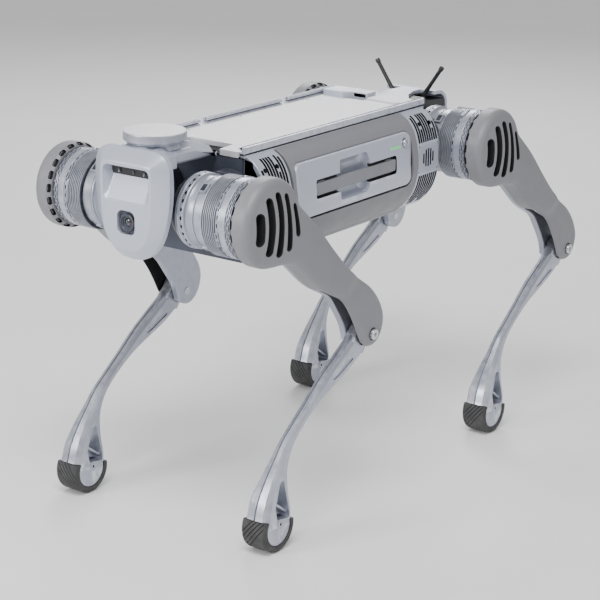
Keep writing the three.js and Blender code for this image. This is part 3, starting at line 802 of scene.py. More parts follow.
def thigh_frame():
    """The bright inner half of the thigh: hub disc, bevelled arm and the web at its front."""
    rear = [(116, -51), (159, -48), (215, -47), (262, -54), (302, -60), (336, -57), (362, -45),
            (375, -25), (378, -4),
            (371, 13), (357, 22), (342, 24)]
    front = [(338, 20), (316, 9), (280, 1), (245, -4), (205, 6), (170, 12), (120, 14), (92, 17),
             (72, 20)]
    outline = smooth(rear, 4) + smooth(front, 3) + [(72, -52)]
    arm = prism(outline, 169.2, 182.2, side_on, 2.6)
    hub = Build().lathe([(0, 170), (28, 170), (28, 176), (52, 178.2), (60, 178.2), (61, 179),
                         (61, 182.6), (0, 182.6)], 72)
    bridge = prism([(0, -60), (60, -54), (104, -50), (104, 14), (60, 34), (0, 60)], 178.4, 182.4,
                   side_on, 0.8)
    web = prism(rounded([(182, -2), (196, -3), (214, -5), (210, 3), (182, 11)], 1.5), 200, 212,
                side_on, 0.8)
    return joined([arm, hub, bridge, web], "thigh_frame")


def knee_bolt():
    head = Build().lathe([(0, 221.2), (3.2, 221.2), (3.6, 223.6), (7.8, 224), (8.6, 223.2),
                          (9, 222), (9, 213.6),
                          (7, 213.4), (7, 168.6), (6.4, 168), (0, 168)], 48, (THIGH, 0))
    return head


def knee_crank():
    outline = arc(0, 0, 15, 20, 200, 14) + arc(LEVER_ALONG, LEVER_ACROSS, 8, 200, 380, 12)
    arm = prism(outline, 184.4, 190.5, side_on, 0.8)
    pin = bar("y", 190, 199.4, 4, (LEVER_ALONG, 0, LEVER_ACROSS))
    return joined([arm, pin], "knee_crank")


def push_rod():
    u, v = LEVER_ALONG, LEVER_ACROSS
    half = [(0, 8.4), (9, 8), (16, 5), (30, 4), (THIGH / 2, 4)]
    upper = smooth(half, 4)
    upper = upper + [(THIGH - a, b) for a, b in upper[-2::-1]]
    ends = [arc(0, 0, 8.4, 90, 270, 12), arc(THIGH, 0, 8.4, -90, 90, 12)]
    outline = [(u + a, v - b) for a, b in upper[1:-1]] + [(u + a, v + b) for a, b in ends[1]]
    outline += [(u + a, v + b) for a, b in upper[-2:0:-1]] + [(u + a, v + b) for a, b in ends[0]]
    rod = prism(outline, 191.6, 197.6, side_on, 1.2)
    eyes = [bar("y", 180, 210, 4.5, (u + x, 0, v)) for x in (0, THIGH)]
    return carved(rod, *eyes, name="push_rod")


# ---------------------------------------------------------------- calves and feet
CALF_FRONT = [(20, 23), (68, 35), (110, 45), (165, 52), (205, 58), (238, 62), (270, 60), (305, 57),
              (340, 50),
              (367, 37.5)]
CALF_REAR = [(20, -19), (63, -7), (100, 9), (140, 26), (180, 37), (212, 42), (235, 42), (256, 38),
             (276, 29), (295, 13),
             (313, -6), (340, -32)]
CALF_HALF = [(20, 10.5), (110, 10), (220, 10), (260, 12), (300, 17), (340, 21.5), (367, 22.3)]
ANKLE = (349, -1)
SOLE = (355, -1)
SOLE_R, SOLE_CORE, SOLE_HALF = 40.4, 30, 23
SOLE_EDGE = [(328, -22), (367, 36)]


def along(curve):
    p = np.array(smooth(curve, 40))
    return lambda s: float(np.interp(s, p[:, 0], p[:, 1]))


calf_front, calf_rear, calf_half = along(CALF_FRONT), along(CALF_REAR), along(CALF_HALF)


def calf_ring(s):
    """One section of the calf: two front facets parted by a groove, bevels and a round back.

    Near the foot the sections tilt until the last one lies along the edge of the rubber.
    """
    behind = s if s < 300 else 300 + (s - 300) * 0.42
    front, rear, half = calf_front(s), calf_rear(behind), calf_half(s)
    lean = (behind - s) / (front - rear)
    deep = front - rear
    groove = 2.2 * ease(s, 34, 60)
    bevel = min(8.0, deep * 0.3)
    side = [(0, front - groove), (0.8, front - groove), (1.3, front), (half * 0.64, front - 1.0),
            (half - 0.9, front - bevel),
            (half, front - bevel - 1.2), (half, rear + 4.5), (half - 0.8, rear + 2.6),
            (half - 3.2, rear + 0.5), (half - 5, rear)]
    ring = side + [(-y, n) for y, n in side[:0:-1]]
    return [(s + (front - n) * lean, LEG_Y + y, n) for y, n in ring]


def behind_sole(margin):
    """Everything on the upper side of the line where the rubber starts."""
    a, b = np.array(SOLE_EDGE[0], float), np.array(SOLE_EDGE[1], float)
    t = (b - a) / np.linalg.norm(b - a)
    up = np.array((-t[1], t[0]))
    a, b = a - t * 60 - up * margin, b + t * 60 - up * margin
    return prism([tuple(a), tuple(b), tuple(b + up * 120), tuple(a + up * 120)], 140, 250, side_on)


def calf_link():
    beam = Build().rings([calf_ring(s) for s in np.linspace(18, 367, 104)])
    pad_space = bar("y", 150, 240, SOLE_R + 3, (SOLE[0], 0, SOLE[1]), 96)
    core = bar("y", 140, 250, SOLE_CORE, (SOLE[0], 0, SOLE[1]), 96, 0)
    away = carved(carved(pad_space, behind_sole(0)), core)
    beam = carved(beam, away, name="calf")
    foot = Build().lathe([(0, LEG_Y - 21), (SOLE_CORE - 1, LEG_Y - 21), (SOLE_CORE, LEG_Y - 20),
                          (SOLE_CORE, LEG_Y + 20),
                          (SOLE_CORE - 1, LEG_Y + 21), (0, LEG_Y + 21)], 96, SOLE)
    beam = carved(beam, foot, operation="UNION", name="calf")
    apex, low_front, low_rear = (288, 36.5), (337, 30), (330, -14)
    window = rounded([apex, (300, 42), low_front, (349, 12), low_rear], [8, 9, 3, 3, 4], 4)
    opening = prism(window, 150, 240, side_on)
    beam = carved(beam, opening, name="calf")
    pocket = rounded([(44, -4), (92, 15), (112, 27), (60, 13)], 2)
    beam = carved(beam, prism(pocket, LEG_Y + 8.4, LEG_Y + 30, side_on),
                  prism(pocket, LEG_Y - 30, LEG_Y - 8.4, side_on),
                  name="calf")
    shelf = prism([(322, -9), (325, -11), (332, 33), (328, 35)], LEG_Y - 15, LEG_Y + 15.5, side_on,
                  0.6)
    liner = prism([(328, -13), (337, 30), (346, 15)], LEG_Y - 6, LEG_Y + 6, side_on, 0.3)
    ring = Build().lathe([(0, LEG_Y + 21.4), (2.4, LEG_Y + 21.4), (2.6, LEG_Y + 22.2),
                          (5.4, LEG_Y + 22.4),
                          (5.8, LEG_Y + 21.9), (6.8, LEG_Y + 21.9), (7.6, LEG_Y + 22.2),
                          (8.4, LEG_Y + 21.6),
                          (8.6, LEG_Y + 20), (8.6, LEG_Y - 20), (8.4, LEG_Y - 21.6),
                          (7.6, LEG_Y - 22.2),
                          (6.8, LEG_Y - 21.9), (5.8, LEG_Y - 21.9), (5.4, LEG_Y - 22.4),
                          (2.6, LEG_Y - 22.2),
                          (2.4, LEG_Y - 21.4), (0, LEG_Y - 21.4)], 48, ANKLE)
    # Dots at the ankle's ends take slot 1, the painted cavity shade.
    dots = [bar("y", LEG_Y + a, LEG_Y + b, 2.3, (ANKLE[0], 0, ANKLE[1]), slot=1)
            for a, b in ((20, 21.9), (-21.9, -20))]
    knuckle = Build().lathe([(7.6, 183.6), (18.8, 183.6), (20, 184.8), (20, 207.2), (18.8, 208.4),
                             (7.6, 208.4)],
                            64, loop=True)
    web = prism([(-14, -14), (30, -19), (30, 24), (-4, 19)], 185.2, 205.3, side_on, 2)
    lever = prism(arc(0, 0, 13, 0, 180, 12) + arc(LEVER_ALONG, LEVER_ACROSS, 8.5, 180, 360, 12),
                  183.8, 190.4, side_on, 1)
    pin = bar("y", 190, 199.4, 4, (LEVER_ALONG, 0, LEVER_ACROSS))
    web = carved(web, bar("y", 170, 220, 7.6), name="calf")
    return joined([beam, shelf, liner, ring, knuckle, web, lever, pin, *dots], "calf_link")


def foot_pad():
    half = SOLE_HALF - 0.2
    corner = [(SOLE_R - 5 + 5 * math.sin(t), half - 5 + 5 * math.cos(t))
              for t in np.radians((0, 18, 36, 54, 72, 90))]
    profile = [(SOLE_CORE + 0.3, -half), *[(r, -y) for r, y in corner],
               *[(r, y) for r, y in corner[::-1]],
               (SOLE_CORE + 0.3, half)]
    tyre = Build().lathe([(r, LEG_Y + y) for r, y in profile], 144, SOLE, loop=True)
    grooves = Build()
    for k in range(0, 9, 2):
        rings = []
        for step in range(15):
            t = math.radians(-112 + 6.5 * k + step * 5.2)
            y = LEG_Y + 21 - 3.0 * step
            rings.append([(SOLE[0] + r * math.cos(t + w / r), y, SOLE[1] - r * math.sin(t + w / r))
                          for r, w in ((38.6, -0.9), (38.6, 0.9), (43, 1.1), (43, -1.1))])
        grooves.rings(rings)
    pad = carved(tyre, behind_sole(0.3), name="foot_pad")
    return carved(pad, grooves, name="foot_pad")


# ---------------------------------------------------------------- hip barrels
CHASSIS_END = 253


def hip_barrel():
    """The finned drum of the thigh and knee motors; the flange that it turns on is drawn by
    roll_flange.
    """
    drum = Build()
    # Slot 1 takes the black finish: on the inner end, the step and core between the fins and in the
    # pits of the two bands below it is painted shade.
    drum.lathe([(0, 45.4), (30, 46), (40, 47.5), (47, 51), (51, 57), (53, 66), (53, 68)], 96,
               slot=1)
    drum.lathe([(52, 67.5), (57.6, 67.5), (58.4, 68.2), (58.4, 70), (56.8, 70.6), (56.8, 71.8),
                (59.6, 72.4),
                (59.6, 75), (58.9, 75.8), (57, 76)], 96)
    ring_at = lambda t: (58.8, 76 + 7.4 * t)
    drum.pitted_band(ring_at, 28, 1, [(a * 0.50, b * 0.50) for a, b in arc(0, 0, 1, 0, 337.5, 15)],
                     3, 1)
    drum.lathe([(57, 83.2), (58.8, 83.4), (58.4, 84.2), (55, 86), (53.2, 90), (52.8, 96),
                (54.4, 98), (56.4, 98.6),
                (56.4, 100.2), (55, 100.8), (55.2, 102), (56.4, 103), (56.4, 118.4), (55.6, 119.4),
                (52, 120)], 96)
    drum.lathe([(50, 119.2), (60.6, 119.3), (61, 120), (59.4, 120.6), (58.2, 121), (58.2, 147.4),
                (50, 147.4)], 96, slot=1)
    for k in range(8):
        y = 120.6 + 3.42 * k
        drum.lathe([(57, y), (62.3, y), (62.6, y + 0.25), (62.6, y + 1.1), (62.3, y + 1.35),
                    (57, y + 1.35)], 120)
    drum.pitted_band(lambda t: (61.5, 147.4 + 6.2 * t), 30, 1,
                     [(a * 0.52, b * 0.3) for a, b in box_outline(-1, 1, -1, 1, 0.5, 3)], 2.4, 1)
    drum.lathe([(58, 153.4), (61.6, 153.5), (62.3, 154.2), (62.3, 164.2), (61.9, 165), (58, 165.2)],
               96)
    # The knurl's pits take slot 2, the dark cast finish: painted shade in them.
    drum.pitted_band(lambda t: (62.0, 165.2 + 9.8 * t), 30, 3,
                     [(a * 0.84, b * 0.5) for a, b in box_outline(-1, 1, -1, 1, 0.5, 2)], 1.0, 2,
                     stagger=True)
    drum.lathe([(62, 174.8), (61.4, 175.4), (0, 175.4)], 96, slot=1)
    return drum


def barrel_details():
    """Blocks on the drum: bosses with one dark face and clamps on the slotted band with two."""
    parts = []
    bosses = [(52, 101, 114, 9, 60.6, True), (128, 101, 114, 9, 60.6, True),
              (-60, 101, 112, 7, 59, True)]
    clamps = [(angle, 147.6, 152.8, 12, 63.4, False) for angle in (35, -20, 108, 200)]
    for angle, y0, y1, half, r, dark in bosses + clamps:
        block = bevelled(prism(box_outline(-half, half, y0, y1, 1.5), 52, r, level), 0.7, 2, 40)
        turn = Matrix.Rotation(math.radians(90 - angle), 4, "Y")
        block.transform(turn)
        parts.append(block)
        offsets, reach, rim = ((0,), half * 0.72,
                               2.6) if dark else ((-half / 2, half / 2), half * 0.36, 1.6)
        for offset in offsets:
            outline = box_outline(offset - reach, offset + reach, y0 + rim, y1 - rim, 1)
            face = as_mesh(prism(outline, r - 1, r + 0.15, level, slot=1), "face")
            face.transform(turn)
            parts.append(face)
    return joined(parts, "barrel_details")


def along_x(shape):
    """A shape turned about Y laid down to turn about X, with its far end towards the trunk."""
    for i, (x, y, z) in enumerate(shape.verts):
        shape.verts[i] = (-y, x + ROLL_Y, z)
    return shape


def roll_flange():
    """The dark flange and stub shaft that the barrel turns on."""
    reach = HIP_X - CHASSIS_END
    r = 51
    body = Build().lathe([(0, 28), (40, 28), (46, 30), (48.5, 33), (48.8, 44), (50.4, 44.6),
                          (50.8, 46), (50.8, 50),
                          (49, 50.6), (49, 52.4), (50.8, 53), (50.8, 57), (49, 57.6), (49, 59.4),
                          (50.8, 60),
                          (r, 61), (r, reach - 3), (r - 1, reach - 1.6), (20, reach - 1.5),
                          (19.6, reach + 5.5), (0, reach + 5.5)], 96, slot=2)
    return along_x(body)


MASTERS = {
    "thigh_cover": (thigh_cover(), "thigh", (GREY, CAVITY_SHADE), "warm_grey"),
    "thigh_frame": (thigh_frame(), "thigh", SILVER, "silver"),
    "knee_bolt": (knee_bolt(), "thigh", STEEL, "bolt_steel"),
    "knee_crank": (knee_crank(), "thigh", DARK, "dark_metal"),
    "push_rod": (push_rod(), "thigh", DARK, "dark_metal"),
    "calf_link": (calf_link(), "calf", (SILVER, CAVITY_SHADE), "silver"),
    "foot_pad": (foot_pad(), "calf", RUBBER, "rubber"),
    "hip_barrel": (joined([as_mesh(hip_barrel(), "drum"), barrel_details(), roll_flange()],
                          "hip_barrel"), "hip", (FINS, DARK, CAST), "silver"),
}
BODY_OF = {
    "thigh_cover": "thigh", "thigh_frame": "thigh", "knee_bolt": "thigh", "knee_crank": "crank",
           "push_rod": "rod",
    "calf_link": "calf", "foot_pad": "calf", "hip_barrel": "hip",
}
for part, (shape, where, finish, slot) in MASTERS.items():
    master = as_mesh(shape, part + "_shape")
    for corner in CORNERS:
        node = f"{part}_{corner}"
        piece("look_" + node, master, leg_frame(corner, where), f"{BODY_OF[part]}_{corner}", finish,
              [node])

# ---------------------------------------------------------------- head
SHIELD = [(0, 456), (22, 459), (40, 470), (55, 490), (66, 520), (72, 552), (73.4, 585), (69, 612),
          (50, 627), (0, 629)]
FACE = [(0, 474), (16, 476), (30, 484), (40, 500), (45.5, 522), (48, 552), (48.6, 580), (47.5, 599),
        (41, 606), (0, 607)]
FACE_X, BEVEL_X, WALL_X = 420.3, 403.5, 394.2
SEAT_Z = 585.5
LENS_Z = 516


def both_sides(half):
    curve = smooth(half, 7)
    return curve + [(-y, z) for y, z in curve[-2:0:-1]]


def scoop(z):
    """How far forward the recess's floor is: the camera bar's seat above and a ramp below."""
    return 403.3 if z > SEAT_Z else 404.3 + (SEAT_Z - z) * 16 / 36.5


def head_shell():
    outer, face = both_sides(SHIELD), both_sides(FACE)
    shell = Build()
    rings = [[(WALL_X, y, z) for y, z in inset(outer, 3)], [(WALL_X, y, z) for y, z in outer]]
    rings.append([(BEVEL_X - 1.5, y, z) for y, z in outer])
    for t, x in ((0.0, BEVEL_X), (0.04, BEVEL_X + 1.3), (0.3, 409.4), (0.6, 414.6), (0.86, 418.9),
                 (0.94, 419.9), (1.0, FACE_X)):
        rings.append([(x, a[0] + (b[0] - a[0]) * t, a[1] + (b[1] - a[1]) * t) for a,
                      b in zip(outer, face)])
    shell.rings(rings, cap_end=False)
    on_face = lambda points: [(FACE_X, y, z) for y, z in points]
    opening = evened(rounded([(-45.5, 601.5), (-43, 548), (43, 548), (45.5, 601.5)], 9, 6), 5)
    narrow = lambda z: np.interp(z, (548, 586, 601.5), (0.93, 0.80, 0.94))
    inner = [(y * narrow(z), 549.2 + (z - 548) * 0.955) for y, z in counter_clockwise(opening)]
    shallow = lambda z: np.interp(z, (550, 566), (0.2, 1.0))
    floor_x = lambda z: min(FACE_X - 2.6 * shallow(z), scoop(z))
    lens = box_outline(-17.2, 17.2, 498, 534.5, 10, 7)
    walls = []
    for k in range(5):
        t = math.radians(22.5 * k)
        lip = inset(counter_clockwise(opening), -2.2 * (1 - math.sin(t)))
        walls.append([(FACE_X - 2.4 * shallow(z) * (1 - math.cos(t)), y, z) for y, z in lip])
    walls.append([(floor_x(z), y, z) for y, z in inner])
    shell.rings([w[::-1] for w in walls], cap_start=False, cap_end=False)
    shell.face([inner], lambda points: [(floor_x(z), y, z) for y, z in points], 3.5)
    well = []
    for level, margin in ((0, -1.2), (0.35, -0.4), (1.2, 0), (11.6, 0)):
        well.append([(FACE_X - level, y, z) for y, z in inset(counter_clockwise(lens), margin)])
    shell.rings([w[::-1] for w in well], cap_start=False)
    shell.face([face, inset(counter_clockwise(opening), -2.2),
                inset(counter_clockwise(lens), -1.2)], on_face, 7)
    return shell


def stack(profile, segments, y, z, slot=0):
    """A profile of (radius, x) turned about a line along X."""
    angles = np.linspace(0, 2 * math.pi, segments, False)
    return Build().rings([[(x, y + r * math.cos(t), z + r * math.sin(t)) for t in angles]
                          for r, x in profile], slot)


def depth_camera():
    """A dark glass bar with three round eyes, high in the recess."""
    window = prism(box_outline(-39, 39, 585.5, 601.5, 2), 401.2, 404.6, end_on, 0.4)
    parts = [window]
    for y, r in ((-24, 3.6), (4, 2.6), (25, 3.6)):
        profile = [(r, 404.8), (r, 405.9), (r - 0.6, 406.3), (r - 1.1, 405.9), (0.2, 405.2)]
        parts.append(stack(profile, 32, y, 591.5, 1))
    return joined(parts, "depth_camera")


def front_camera():
    """A rounded square bezel round a large lens, stepping in to the glass."""
    bezel = prism(box_outline(-15.9, 15.9, 498.8, 533.3, 9, 7), 408.8, 414, end_on, 1.2)
    lens = stack([(13.6, 412), (13.6, 417.2), (13.0, 418), (11.6, 418), (11.2, 417.3),
                  (10.8, 416.4),
                  (9.6, 416.1), (9.2, 414.6), (7.4, 414.2), (7.0, 413.2), (0.1, 413.0)], 64, 0,
                 LENS_Z)
    glass = stack([(7.2, 413), (7.2, 413.6), (6, 414.8), (4, 415.7), (2, 416.2), (0.1, 416.3)],
                  48, 0, LENS_Z, 1)
    return joined([bezel, lens, glass], "front_camera")


def glint(name, y, z, r, material):
    drop = stack([(r, 415.6), (r * 0.8, 416.3), (r * 0.3, 416.6)], 16, y, z)
    piece(name, drop, TRUNK, "trunk", material)


def about_z(shape, x):
    """A shape turned about Y stood up so that it turns about Z."""
    shape.verts = [(x + a, -c, b) for a, b, c in shape.verts]
    return shape


PUCK_SEGMENTS = 128


def sensor_puck():
    profile = [(0, 630.6), (44, 630.6), (45, 631.4), (45, 633.4), (47, 633.6), (48.4, 634.4),
               (48.9, 636), (48.9, 644.6),
               (48.3, 646.8), (47, 647.8), (45.6, 647.9), (0, 647.9)]
    puck = about_z(Build().lathe(profile, PUCK_SEGMENTS), 350)
    # The side and underside take the darker silver and the top the pale deck paint: painted shade
    # on the side and painted light on the top.
    side = PUCK_SEGMENTS * 8
    puck.slots[:side] = [1] * side
    return puck


def neck_bracket():
    rings = []
    for x, top, flat, low in ((257, 612, 30, 44), (262, 613.6, 30, 45), (300, 626, 30, 47),
                              (312, 629, 30, 46),
                              (372, 629.6, 32, 44), (380, 628, 30, 42), (393.5, 624, 28, 42)):
        rings.append([(x, y, z) for y,
                      z in ((-low + 2, 600), (-low, 603), (-low, top - 14), (-flat, top),
                            (flat, top),
                                             (low, top - 14), (low, 603), (low - 2, 600))])
    spine = bevelled(Build().rings(rings), 1.4, 2, 18)
    seat = about_z(Build().lathe([(0, 622), (40, 622), (36, 630.4), (0, 630.4)], 72), 350)
    arms = []
    for hand in (1, -1):
        outline = [(312, 40 * hand), (350, 43 * hand), (372, 61 * hand), (393.5, 62 * hand),
                   (393.5, 20 * hand), (312, 20 * hand)]
        arms.append(bevelled(prism(outline, 600.2, 621, level), 1.4))
    return joined([spine, seat, *arms], "neck_bracket")


piece("look_head_shell", bevelled(head_shell(), 0.3, 1, 60), TRUNK, "trunk", SHELL,
      ["head_shell"], 40)
piece("look_depth_camera", depth_camera(), TRUNK, "trunk", (BLACK, LENS),
      ["depth_camera"])
piece("look_front_camera", front_camera(), TRUNK, "trunk", (CAST, LENS),
      ["front_camera"])
# Painted reflections on the lens: two small glowing dots.
glint("look_lens_glint_green", -1.6, 518, 1.1, GLINT_GREEN)
glint("look_lens_glint_magenta", 1.4, 513.6, 1.0, GLINT_PINK)
piece("look_sensor_puck", sensor_puck(), TRUNK, "trunk", (DECK, SILVER),
      ["sensor_puck"])
piece("look_neck_bracket", neck_bracket(), TRUNK, "trunk", SHELL, ["neck_bracket"])

# ---------------------------------------------------------------- body shell and battery
SIDE_LINE = [(97, 603), (116, 591), (129, 572), (136, 547), (139, 520), (136, 493), (128, 468),
             (115, 449), (100, 434)]
SIDE = smooth(SIDE_LINE, 6)
PANEL = [(-160, 488), (169, 488), (169, 579), (-160, 579)]


def side_shell(x0, x1, sink, wall, edge):
    """The curved side skin as a closed sheet with rounded ends."""
    outer = [(y - sink, z) for y, z in SIDE]
    rings = []
    for x, e in ((x0, edge), (x0 + edge * 0.3, edge * 0.3), (x0 + edge, 0),
                 *[(x, 0) for x in np.linspace(x0 + 12, x1 - 12, 12)],
                 (x1 - edge, 0), (x1 - edge * 0.3, edge * 0.3), (x1, edge)):
        skin = [(y - e, z) for y, z in outer]
        lining = [(y - sink - wall, z - (z - 520) * 0.03) for y, z in SIDE]
        rings.append([(x, y, z) for y, z in skin + lining[::-1]])
    return Build().rings(rings)


def side_cowl(window):
    shell = side_shell(-180, 177, 0, 4, 1.6)
    if not window:
        return shell
    margin = [(x + (1.4 if x > 0 else -3.6), z + (1.0 if z > 530 else -3.4)) for x, z in PANEL]
    hole = prism(rounded(margin, 15, 8), 60, 200, side_on)
    return bevelled(carved(shell, hole, name="side_cowl"), 0.8, 2, 40)


def battery_face(x, z):
    return 138.9 - (8.2 * ((z - 520) / 59) ** 2 if z > 520 else 3.2 * ((520 - z) / 32) ** 2)


def battery_pack():
    pack = Build().moulded(rounded(PANEL, 13.5, 8), 60, battery_face, 2.4, side_on, (), 4, 7)
    well_outline = counter_clockwise(rounded([(-27, 500), (49, 500), (57, 530), (51, 567),
                                              (-27, 567), (-38, 530)], 5, 5))
    well = Build().rings([[side_on(u, v, w) for u, v in inset(well_outline, d)]
                          for w, d in ((150, 0), (134, 0), (128, 1.2), (123, 4), (120, 8),
                                       (118.6, 13))])
    slot = prism(box_outline(-111, 120, 515.5, 546.5, 5), 131, 150, side_on, slot=1)
    button = bar("y", 132.4, 160, 8.4, (-140, 0, 562), 40, slot=1)
    return bevelled(carved(pack, well, slot, button, name="battery_pack"), 0.7, 2, 50)


def battery_handle():
    grip = prism(box_outline(-109.5, 118.5, 520.4, 540.6, 3.5), 131.2, 137.6, side_on, 1.0)
    feet = [prism(box_outline(x - 9, x + 9, 518.6, 542.4, 2), 131.2, 134, side_on, 0.5)
            for x in (-92, 101)]
    return joined([grip, *feet], "battery_handle")


def power_button():
    return Build().lathe([(0, 134.2), (7.4, 134.2), (7.6, 135), (7.6, 137.4), (7, 138.4),
                          (6, 138.8), (5.2, 138.2),
                         (4.9, 137.2), (4.2, 137.2), (3.8, 138), (0, 138.5)], 48, (-140, 562))


piece("look_side_cowl_left", side_cowl(True), TRUNK, "trunk", GREY, ["side_cowl_left"])
piece("look_side_cowl_right", side_cowl(False), TRUNK @ MIRROR, "trunk", GREY,
      ["side_cowl_right"])
piece("look_battery_pack", battery_pack(), TRUNK, "battery", (SHELL, BLACK),
      ["battery_pack"])
piece("look_battery_handle", battery_handle(), TRUNK, "battery", HANDLE,
      ["battery_handle"])
piece("look_power_button", power_button(), TRUNK, "power_button", STEEL, ["power_button"])
for k in range(4):
    x = -99 - 8 * k
    y = battery_face(x, 558)
    light = prism(box_outline(x - 2.2, x + 2.2, 556.1, 560.1, 1.2), y - 1, y + 0.25, side_on, 0.2)
    piece(f"look_charge_light_{k + 1}", light, TRUNK, "battery", LED)

# ---------------------------------------------------------------- deck and rails
def deck_plate():
    outline = [(-256, -86.2), (254, -86.2), (254, -48), (214, -44), (214, 44), (254, 48),
               (254, 86.2), (-256, 86.2)]
    plate = prism(rounded(outline, [4, 6, 2, 1, 1, 2, 6, 4], 4), 598.2, 608.3, level)
    seat = prism([(-260, -90), (-207, -90), (-207, 2), (-260, 2)], 590, 620, level)
    panel = bevelled(carved(plate, seat, name="deck_plate"), 0.9, 2, 40)
    slab = bevelled(prism(rounded([(-256, 3), (-216, 3), (-210, 66), (-230, 84), (-256, 84)], 2),
                          606, 611.6, level), 0.9)
    screws = []
    for x, y in ((232, 70), (232, -70), (176, 76), (176, -76), (40, 76), (40, -76), (-150, 76),
                 (-150, -76)):
        screws.append(bar("z", 608, 608.6, 1.8, (x, y, 0), 24, 0.2, 1))
        screws.append(bar("z", 608.2, 608.8, 0.9, (x, y, 0), 6, 0.1, 1))
    # A dark sheet under the plate's edge: painted shade in the gap beside the rails.
    liner = prism([(-255, -88.2), (252, -88.2), (252, 88.2), (-255, 88.2)], 598.1, 600.5, level,
                  slot=2)
    return joined([panel, slab, liner, *screws], "deck_plate")


def deck_rail(stretches):
    """A channel that opens inwards above the deck, with a fine groove along its top."""
    parts = []
    section = [(88.9, 609.4), (93.6, 609.4), (93.6, 611.6), (88.9, 611.6), (88.9, 616.2),
               (90.2, 616.4), (90.4, 613.4), (93.4, 613.4),
               (93.6, 616.4), (97.2, 616.4), (98, 615.6), (98, 603.4), (88.9, 603.4)]
    for x0, x1 in stretches:
        rings = [[(x, y, z) for y, z in section] for x in (x0, x1)]
        parts.append(bevelled(Build().rings(rings), 0.35, 1, 40))
        # Thin dark strips line the groove and the channel: painted shade in them.
        for y0, y1, z0, z1 in ((93.3, 93.7, 609.6, 611.4), (90.4, 93.4, 613.2, 613.6),
                               (90.3, 90.7, 613.2, 616.1)):
            outline = [(x0 + 0.2, y0), (x1 - 0.2, y0), (x1 - 0.2, y1), (x0 + 0.2, y1)]
            parts.append(prism(outline, z0, z1, level, slot=1))
    parts.append(prism([(-256, 88.9), (256, 88.9), (256, 98), (-256, 98)], 603.4, 607, level, 0.5))
    parts.append(prism([(-254, 89.5), (254, 89.5), (254, 97.6), (-254, 97.6)], 600, 604, level))
    return joined(parts, "deck_rail")


def rear_bay_lid():
    """A low hatch whose front steps back over an open mouth."""
    outline = [(-250, -84), (-208, -84), (-208, -42), (-222, -28), (-222, 1), (-250, 1)]
    lid = prism(rounded(outline, 2), 598.2, 617.8, level, 1.2)
    mouth = prism([(-238, -27), (-215, -27), (-215, -2.5), (-238, -2.5)], 609.2, 615.4, level,
                  slot=1)
    return bevelled(carved(lid, mouth, name="rear_bay_lid"), 0.5, 2, 40)


piece("look_deck_plate", deck_plate(), TRUNK, "trunk", (DECK, BLACK, CAVITY_SHADE),
      ["deck_plate"])
piece("look_deck_rail_left", deck_rail([(-256, 256)]), TRUNK, "trunk", (SHELL, CAVITY_SHADE),
      ["deck_rail_left"])
piece("look_deck_rail_right", deck_rail([(130, 256), (-94, 114), (-256, -110)]), TRUNK @ MIRROR,
      "trunk", (SHELL, CAVITY_SHADE),
      ["deck_rail_right"])
piece("look_rear_bay_lid", rear_bay_lid(), TRUNK, "trunk", (SHELL, BLACK),
      ["rear_bay_lid"])

# ---------------------------------------------------------------- hip fairings
FLAT_LOW, FLAT_HIGH = 497, 552


def fairing_line():
    """The fairing's section: round shoulders with a flat between them."""
    line = [(y - 1.5, z) for y, z in smooth(SIDE_LINE, 5)]
    return [(135.5, z) if FLAT_LOW <= z <= FLAT_HIGH else (min(y, 135.5), z) for y, z in line]


def fairing_grooves():
    """(start, end, highest, lowest) of each sunk slot, painted dark as shade: x from the cowl
    outwards and z.
    """
    stripes = []
    for k in range(9):
        x = 186.5 + 6.7 * k
        top = (593, 594, 574, 594, 594, 594, 594, 572, 582)[k]
        stripes.append((x, x + 5.2, top, FLAT_HIGH + 2))
        stripes.append((x, x + 5.2, FLAT_LOW - 2, 440 if k % 4 else 452))
    return stripes


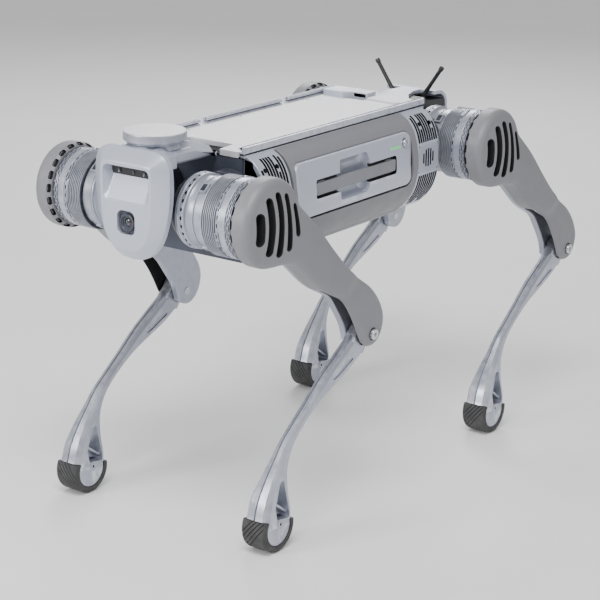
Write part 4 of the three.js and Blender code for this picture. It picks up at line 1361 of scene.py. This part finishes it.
def hip_fairing():
    line = evened(fairing_line() + [(94, 434)], 3.0)[:-1]
    line = [(y, z) for y, z in line if z >= 434]
    stripes = fairing_grooves()
    stations = [181.0, 181.6, 182.6]
    for x0, x1, *_ in stripes[::2]:
        stations += [x0, x0 + 0.02, x1 - 0.02, x1]
    stations += [247.0, 248.4, 249.0]
    rings, sunk = [], []
    for x in stations:
        end = {181.0: 1.2, 181.6: 0.4, 248.4: 0.5, 249.0: 1.4}.get(x, 0)
        deep = []
        for y, z in line:
            deep.append(any(a + 0.01 < x < b - 0.01 and low < z < high for a, b, high,
                            low in stripes))
        outer = [(x, y - end - (4.5 if d else 0), z) for (y, z), d in zip(line, deep)]
        inner = [(x, y - 7, z - (z - 520) * 0.04) for y, z in line]
        rings.append(outer + inner[::-1])
        sunk.append(deep + [False] * len(line))
    shell = Build().rings(rings)
    n = len(rings[0])
    # Faces in the sunk slots take slot 1: painted shade in them.
    for i in range(len(rings) - 1):
        for j in range(n):
            k = (j + 1) % n
            if sunk[i][j] or sunk[i][k] or sunk[i + 1][j] or sunk[i + 1][k]:
                shell.slots[i * n + j] = 1
    shell.slots[-1] = 2
    shell.slots[-2] = 2
    # Vents, pockets and screw holes are cut with slot 1: painted shade inside them.
    cutters = []
    for k in (-2, -1, 0, 1, 2):
        half = math.sqrt(18 ** 2 - (7.2 * k) ** 2) - 1.5
        x = 215 + 7.2 * k
        outline = box_outline(x - 2.3, x + 2.3, 524.5 - half, 524.5 + half, 2.2, 4)
        cutters.append(prism(outline, 131.5, 150, side_on, slot=1))
    for x, z in ((203, 583), (235, 581)):
        pocket = as_mesh(prism(arc(x, z, 4.2, 0, 350, 24), 116, 140, side_on, slot=1), "pocket")
        shoulder = Matrix.Translation((0, 123, z))
        tilt = Matrix.Rotation(math.radians(38), 4, "X")
        pocket.transform(shoulder @ tilt @ shoulder.inverted())
        cutters.append(pocket)
    for x, z in ((186, 547), (186, 502), (243, 547), (243, 502)):
        cutters.append(bar("y", 134.2, 150, 1.3, (x, 0, z), 12, 0.1, 1))
    edge = [(y - 6, z) for y, z in line]
    end = edge + [(93.0, 440), (93.0, 598)]
    plate = Build().rings([[(x, max(y, 93.2), z) for y, z in end] for x in (244.6, 248.4)], 2)
    return joined([carved(shell, *cutters, name="hip_fairing"), plate], "hip_fairing")


fairing = hip_fairing()
for corner in CORNERS:
    place = TRUNK
    if corner.endswith("right"):
        place = place @ MIRROR
    if corner.startswith("rear"):
        place = place @ Matrix.Diagonal((-1, 1, 1, 1))
    piece("look_hip_fairing_" + corner, fairing, place, "trunk", (SHELL, CAVITY_SHADE, SILVER),
          ["hip_fairing_" + corner], 30)

# ---------------------------------------------------------------- tail and antennas
def tail_cover():
    """A bent cover over the rear electronics, notched round both antennas, dark inside."""
    outer = [(-257, 606.9), (-372, 606.9)] + arc(-379, 578, 28.4, 90, 180,
                                                 12) + [(-407.4, 504), (-404, 499)]
    inner = [(-257, 600.6), (-372, 600.6)] + arc(-379, 578, 22, 90, 180,
                                                 12) + [(-401, 506), (-400, 499)]
    sheet = prism(outer + inner[::-1], -51.8, 51.8, side_on, 0.5)
    notches = [prism([(-276, 53 * hand), (-310, 30 * hand), (-342, 20 * hand), (-365, 20 * hand),
                      (-365, 53 * hand)], 580, 615, level)
               for hand in (1, -1)]
    sheet = bevelled(carved(sheet, *notches, name="tail_cover"), 0.5, 2, 50)
    core = prism(rounded([(-258, 600.4), (-334, 600.4), (-338, 594), (-396, 590), (-396, 520),
                          (-380, 502), (-300, 502), (-258, 520)], 2),
                 -50.6, 50.6, side_on, 0.8, 1)
    return joined([sheet, core], "tail_cover")


def antenna(hand):
    """A thin black rod with a thicker tip, leaning outwards from its socket."""
    base = joint_at("antenna_left_tilt" if hand > 0 else "antenna_right_tilt")
    rod = Build().lathe([(0, -0.8), (4.6, -0.8), (5, 0), (5, 5.6), (4.4, 6.4), (3.9, 8), (3.5, 30),
                         (3.5, 59), (3.7, 59.6),
                         (4.4, 60.2), (4.5, 65.6), (3.8, 66.8), (0, 67)], 32)
    lean = math.radians(34.5) * hand
    along, across = (math.sin(lean), math.cos(lean)), (-math.cos(lean), math.sin(lean))
    rod.verts = [(base.x + a, base.y + b * along[0] + c * across[0],
                  base.z + b * along[1] + c * across[1])
                 for a, b, c in rod.verts]
    return rod


piece("look_tail_cover", tail_cover(), TRUNK, "trunk", (SHELL, BLACK), ["tail_cover"])
for name, hand in (("antenna_left", 1), ("antenna_right", -1)):
    piece("look_" + name, antenna(hand), SCALE, name, BLACK, [name])
